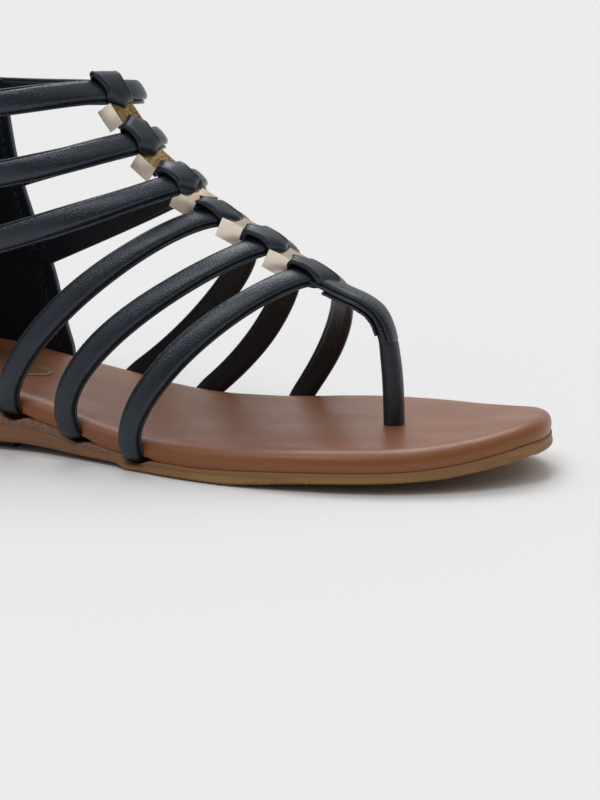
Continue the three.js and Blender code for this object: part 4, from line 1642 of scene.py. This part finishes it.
@dataclass(frozen=True)
class HeelCounter:
    """Tall heel counter: a shell, its lining and the stitches along its edge."""

    columns: int = 120
    rows: int = 64
    seam_in: float = 0.018  # share of the way round from a front edge to the seam
    seam_top: float = 0.965  # share of the way up to it
    # Height at the back and the front, their distances from the heel, and share of the width.
    levels = (
        ((32, 28, -1.0, 80.6, 0.98), (50, 46, 0.5, 76.0, 0.96), (68, 62, 4.0, 69.4, 0.93))
        + ((86, 77, 8.0, 64.8, 0.9), (101, 91, 11.0, 62.2, 0.88), (114, 104, 12.5, 60.4, 0.87))
    )

    def column(self, turn: float) -> tuple[Vector, Vector]:
        """Outline point and normal round the heel, from the lateral front to the medial one."""
        t = 2 * turn - 1
        side = Side.LATERAL if t < 0 else Side.MEDIAL
        distance = COUNTER_FRONT * (1 - math.cos(math.pi * t / 2))
        if distance < 0.02:
            return Vector((0.0, 0.0)), Vector((-1.0, 0.0))
        return SOLE.on_side(side, SOLE.share_at(side, distance))

    def knots(self, turn: float, offset: float) -> list[Vector]:
        """Points of one column, from the bottom level to the top one."""
        point, normal = self.column(turn)
        joint = SOLE.joint.at(point.x)
        spots = [(point.x, 1.0, joint + GAP), (point.x, 1.0, joint + GAP + FOOTBED_THICKNESS)]
        share = point.x / COUNTER_FRONT
        for back_height, front_height, back, front, width in self.levels:
            height = blend(back_height, front_height, share)
            spots.append((blend(back, front, share), width, height))
        out = normal * offset
        return [placed(x + out.x, point.y * w + out.y, z) for x, w, z in spots]

    def surface(self, offset: float) -> Place:
        """Smooth surface at a distance outside the footbed's edge."""
        cache: dict[float, list[Vector]] = {}

        def place(u: float, v: float) -> Vector:
            if u not in cache:
                cache[u] = self.knots(u, offset)
            knots = cache[u]
            s = v * (len(knots) - 1)
            i = min(int(s), len(knots) - 2)
            f = s - i
            before, start = knots[max(i - 1, 0)], knots[i]
            end, after = knots[i + 1], knots[min(i + 2, len(knots) - 1)]
            return hermite(start, end, (end - before) / 2, (after - start) / 2, f)

        return place

    def sheet(
        self, name: str, offset: float, trim: tuple[float, float], thickness: float
    ) -> bpy.types.Object:
        """Shell of an even thickness between two trims.

        Args:
            name: Name of the new object.
            offset: Distance of its middle outside the footbed's edge.
            trim: Share left off at each front edge and at the top.
            thickness: Thickness in millimetres.

        Returns:
            The new object.
        """
        place = self.surface(offset)
        deselect_all()
        bpy.ops.mesh.primitive_grid_add(
            x_subdivisions=self.columns, y_subdivisions=self.rows, size=1.0
        )
        piece = bpy.context.object
        piece.name = name
        for vertex in piece.data.vertices:
            u = blend(trim[0], 1 - trim[0], vertex.co.x + 0.5)
            v = (vertex.co.y + 0.5) * (1 - trim[1])
            vertex.co = place(round(u, 6), v)
        walls = {"thickness": thickness * MM, "offset": 0.0, "use_even_offset": True}
        apply_modifier(piece, "SOLIDIFY", **walls)
        bevel_edges(piece, thickness * 0.36, 4, 1.0)
        close_and_turn_out(piece)
        bpy.ops.object.shade_smooth()
        return piece

    def build(self) -> None:
        """Makes the counter's shell, lining and stitches."""
        middle = GAP + COUNTER_WALL / 2
        shell = self.sheet("heel_counter_shell", middle, (0.0, 0.0), COUNTER_WALL)
        set_in_frame(shell, COUNTER_COVER, Slot.COUNTER, "heel_counter", padded=0.9)
        lining = self.sheet("heel_counter_lining", GAP + 0.02, (0.022, 0.035), 0.35)
        set_in_frame(lining, LINING, Slot.COUNTER, "heel_counter")
        self.build_stitches()

    def build_stitches(self) -> None:
        """Makes one row of stitches along the front and top edges, outside and inside."""
        stitches = []
        for offset in (GAP + COUNTER_WALL + 0.02, GAP - 0.02):
            place = self.surface(offset)
            inner, top = self.seam_in, self.seam_top
            line = [place(inner, v / 60 * top) for v in range(8, 61)]
            line += [place(blend(inner, 1 - inner, u / 120), top) for u in range(1, 121)]
            line += [place(1 - inner, (60 - v) / 60 * top) for v in range(1, 53)]
            stitches += stitch_row(line, 2.9, 2.1, 0.28)
        piece = joined("heel_counter_stitches", stitches)
        set_in_frame(piece, THREAD, Slot.COUNTER, "heel_counter")


def stitch_row(
    line: Sequence[Vector], pitch: float, length: float, radius: float
) -> list[bpy.types.Object]:
    """Copies of one stitch along a line.

    Args:
        line: Points that the row follows.
        pitch: Distance from stitch to stitch in millimetres.
        length: Length of a stitch.
        radius: Half its thickness.

    Returns:
        The stitches, each with its own mesh.
    """
    ribbon = Ribbon([Station(point, Vector((0, 1, 0)), Vector((0, 0, 1))) for point in line])
    total = ribbon.lengths[-1] / MM
    count = int(total / pitch)
    deselect_all()
    bpy.ops.mesh.primitive_uv_sphere_add(segments=8, ring_count=6, radius=1.0)
    model = bpy.context.object
    for vertex in model.data.vertices:
        x, y, z = vertex.co
        vertex.co = Vector((x * radius, y * radius, z * length / 2)) * MM
    stitches = []
    for k in range(count):
        share = (k + 0.5) / count
        reach = 0.5 * length / total
        start = ribbon.at(max(share - reach, 0.0)).centre
        end = ribbon.at(min(share + reach, 1.0)).centre
        copy = model.copy()
        copy.data = model.data.copy()
        bpy.context.scene.collection.objects.link(copy)
        turn = (end - start).to_track_quat("Z", "Y").to_matrix().to_4x4()
        copy.data.transform(Matrix.Translation(ribbon.at(share).centre) @ turn)
        stitches.append(copy)
    bpy.data.objects.remove(model)
    return stitches


def joined(name: str, parts: Sequence[bpy.types.Object]) -> bpy.types.Object:
    """Joins objects into one that has a new name."""
    deselect_all()
    for part in parts:
        part.select_set(True)
    bpy.context.view_layer.objects.active = parts[0]
    bpy.ops.object.join()
    piece = bpy.context.object
    piece.name = name
    bpy.ops.object.shade_smooth()
    return piece


# ---------------------------------------------------------------- studio


@dataclass(frozen=True)
class Studio:
    """Pale floor, soft light and the camera."""

    azimuth: float = 21.66
    elevation: float = 13.437
    roll: float = 0.807
    lens: float = 164.39
    spot: tuple[float, float, float] = (0.51976, -0.99228, 0.27239)
    floor_size: float = 12.0
    lights = (  # name, direction from the shoe, strength, spread
        ("key_light", (-0.25, 0.42, 0.87), 1.05, 34),
        ("front_light", (-0.16, -0.46, 0.87), 0.5, 22),
        ("fill_light", (-0.5, -0.85, 0.2), 0.24, 50),
    )
    # Strength of the room's light, everywhere and more of it behind, overhead and at the far side.
    room = 0.09
    room_behind = 0.5
    room_overhead = 0.6
    room_beside = 0.35

    def floor(self) -> None:
        """Makes the floor."""
        deselect_all()
        bpy.ops.mesh.primitive_plane_add(size=self.floor_size, location=(0, 0, 0))
        floor = bpy.context.object
        floor.name = "floor"
        floor.data.materials.append(PaleFloor("floor_pale").material())

    def camera(self) -> None:
        """Makes the camera, level but for a slight roll."""
        angles = (self.azimuth, self.elevation, self.roll)
        azimuth, elevation, roll = (math.radians(angle) for angle in angles)
        level = Vector((math.cos(azimuth), math.sin(azimuth), 0))
        back = Vector(
            (
                math.sin(azimuth) * math.cos(elevation),
                -math.cos(azimuth) * math.cos(elevation),
                math.sin(elevation),
            )
        )
        up = back.cross(level)
        right = level * math.cos(roll) + up * math.sin(roll)
        top = up * math.cos(roll) - level * math.sin(roll)
        data = bpy.data.cameras.new("camera")
        data.lens = self.lens
        data.sensor_width = 36.0
        data.clip_start = 0.05
        camera = bpy.data.objects.new("camera", data)
        bpy.context.scene.collection.objects.link(camera)
        turn = Matrix((right, top, back)).transposed().to_4x4()
        camera.matrix_world = Matrix.Translation(self.spot) @ turn
        bpy.context.scene.camera = camera

    def world(self) -> None:
        """Makes a dark room with broad soft light overhead, behind the shoe and beside it."""
        world = bpy.data.worlds.new("studio")
        world.use_nodes = True
        bpy.context.scene.world = world
        shader = Shader(world.node_tree)
        way = shader.add("ShaderNodeTexCoord", {}, {}, 0)
        dot = {"operation": "DOT_PRODUCT"}
        behind = shader.add("ShaderNodeVectorMath", dot, {0: way, 1: (-0.37, 0.93, 0.0)}, 1)
        up = shader.add("ShaderNodeSeparateXYZ", {}, {0: way}, 2)
        beside = shader.add("ShaderNodeVectorMath", dot, {0: way, 1: (0.93, 0.37, 0.0)}, 1)
        level = behind.ease(0.1, 0.8) * self.room_behind + up.ease(0.45, 0.8) * self.room_overhead
        level = level + beside.ease(0.6, 0.95) * self.room_beside + self.room
        light = {"Color": (1, 1, 1, 1), "Strength": level}
        background = shader.add("ShaderNodeBackground", {}, light)
        shader.add("ShaderNodeOutputWorld", {}, {"Surface": background})

    @staticmethod
    def soft_sun(
        name: str, toward: tuple[float, float, float], strength: float, spread: float
    ) -> None:
        """Adds a far soft light.

        Args:
            name: Name of the light.
            toward: Direction from the shoe to the light.
            strength: Light on a surface that faces it, in watts per square metre.
            spread: Its width seen from the shoe, in degrees.
        """
        data = bpy.data.lights.new(name, "SUN")
        data.energy = strength
        data.angle = math.radians(spread)
        light = bpy.data.objects.new(name, data)
        bpy.context.scene.collection.objects.link(light)
        light.rotation_euler = Vector(toward).to_track_quat("Z", "Y").to_euler()

    def build(self) -> None:
        """Makes the floor, the light and the camera."""
        self.floor()
        self.world()
        for light in self.lights:
            self.soft_sun(*light)
        self.camera()
        scene = bpy.context.scene
        scene.view_settings.view_transform = "Standard"
        scene.view_settings.look = "None"


def main() -> None:
    """Builds the sandal and the studio round it."""
    logging.basicConfig(level=logging.INFO, format="%(message)s")
    Studio().build()
    Outsole().build()
    Footbed().build()
    CrossStraps().build()
    CentreStrap().build()
    HeelCounter().build()


if __name__ == "__main__":
    main()
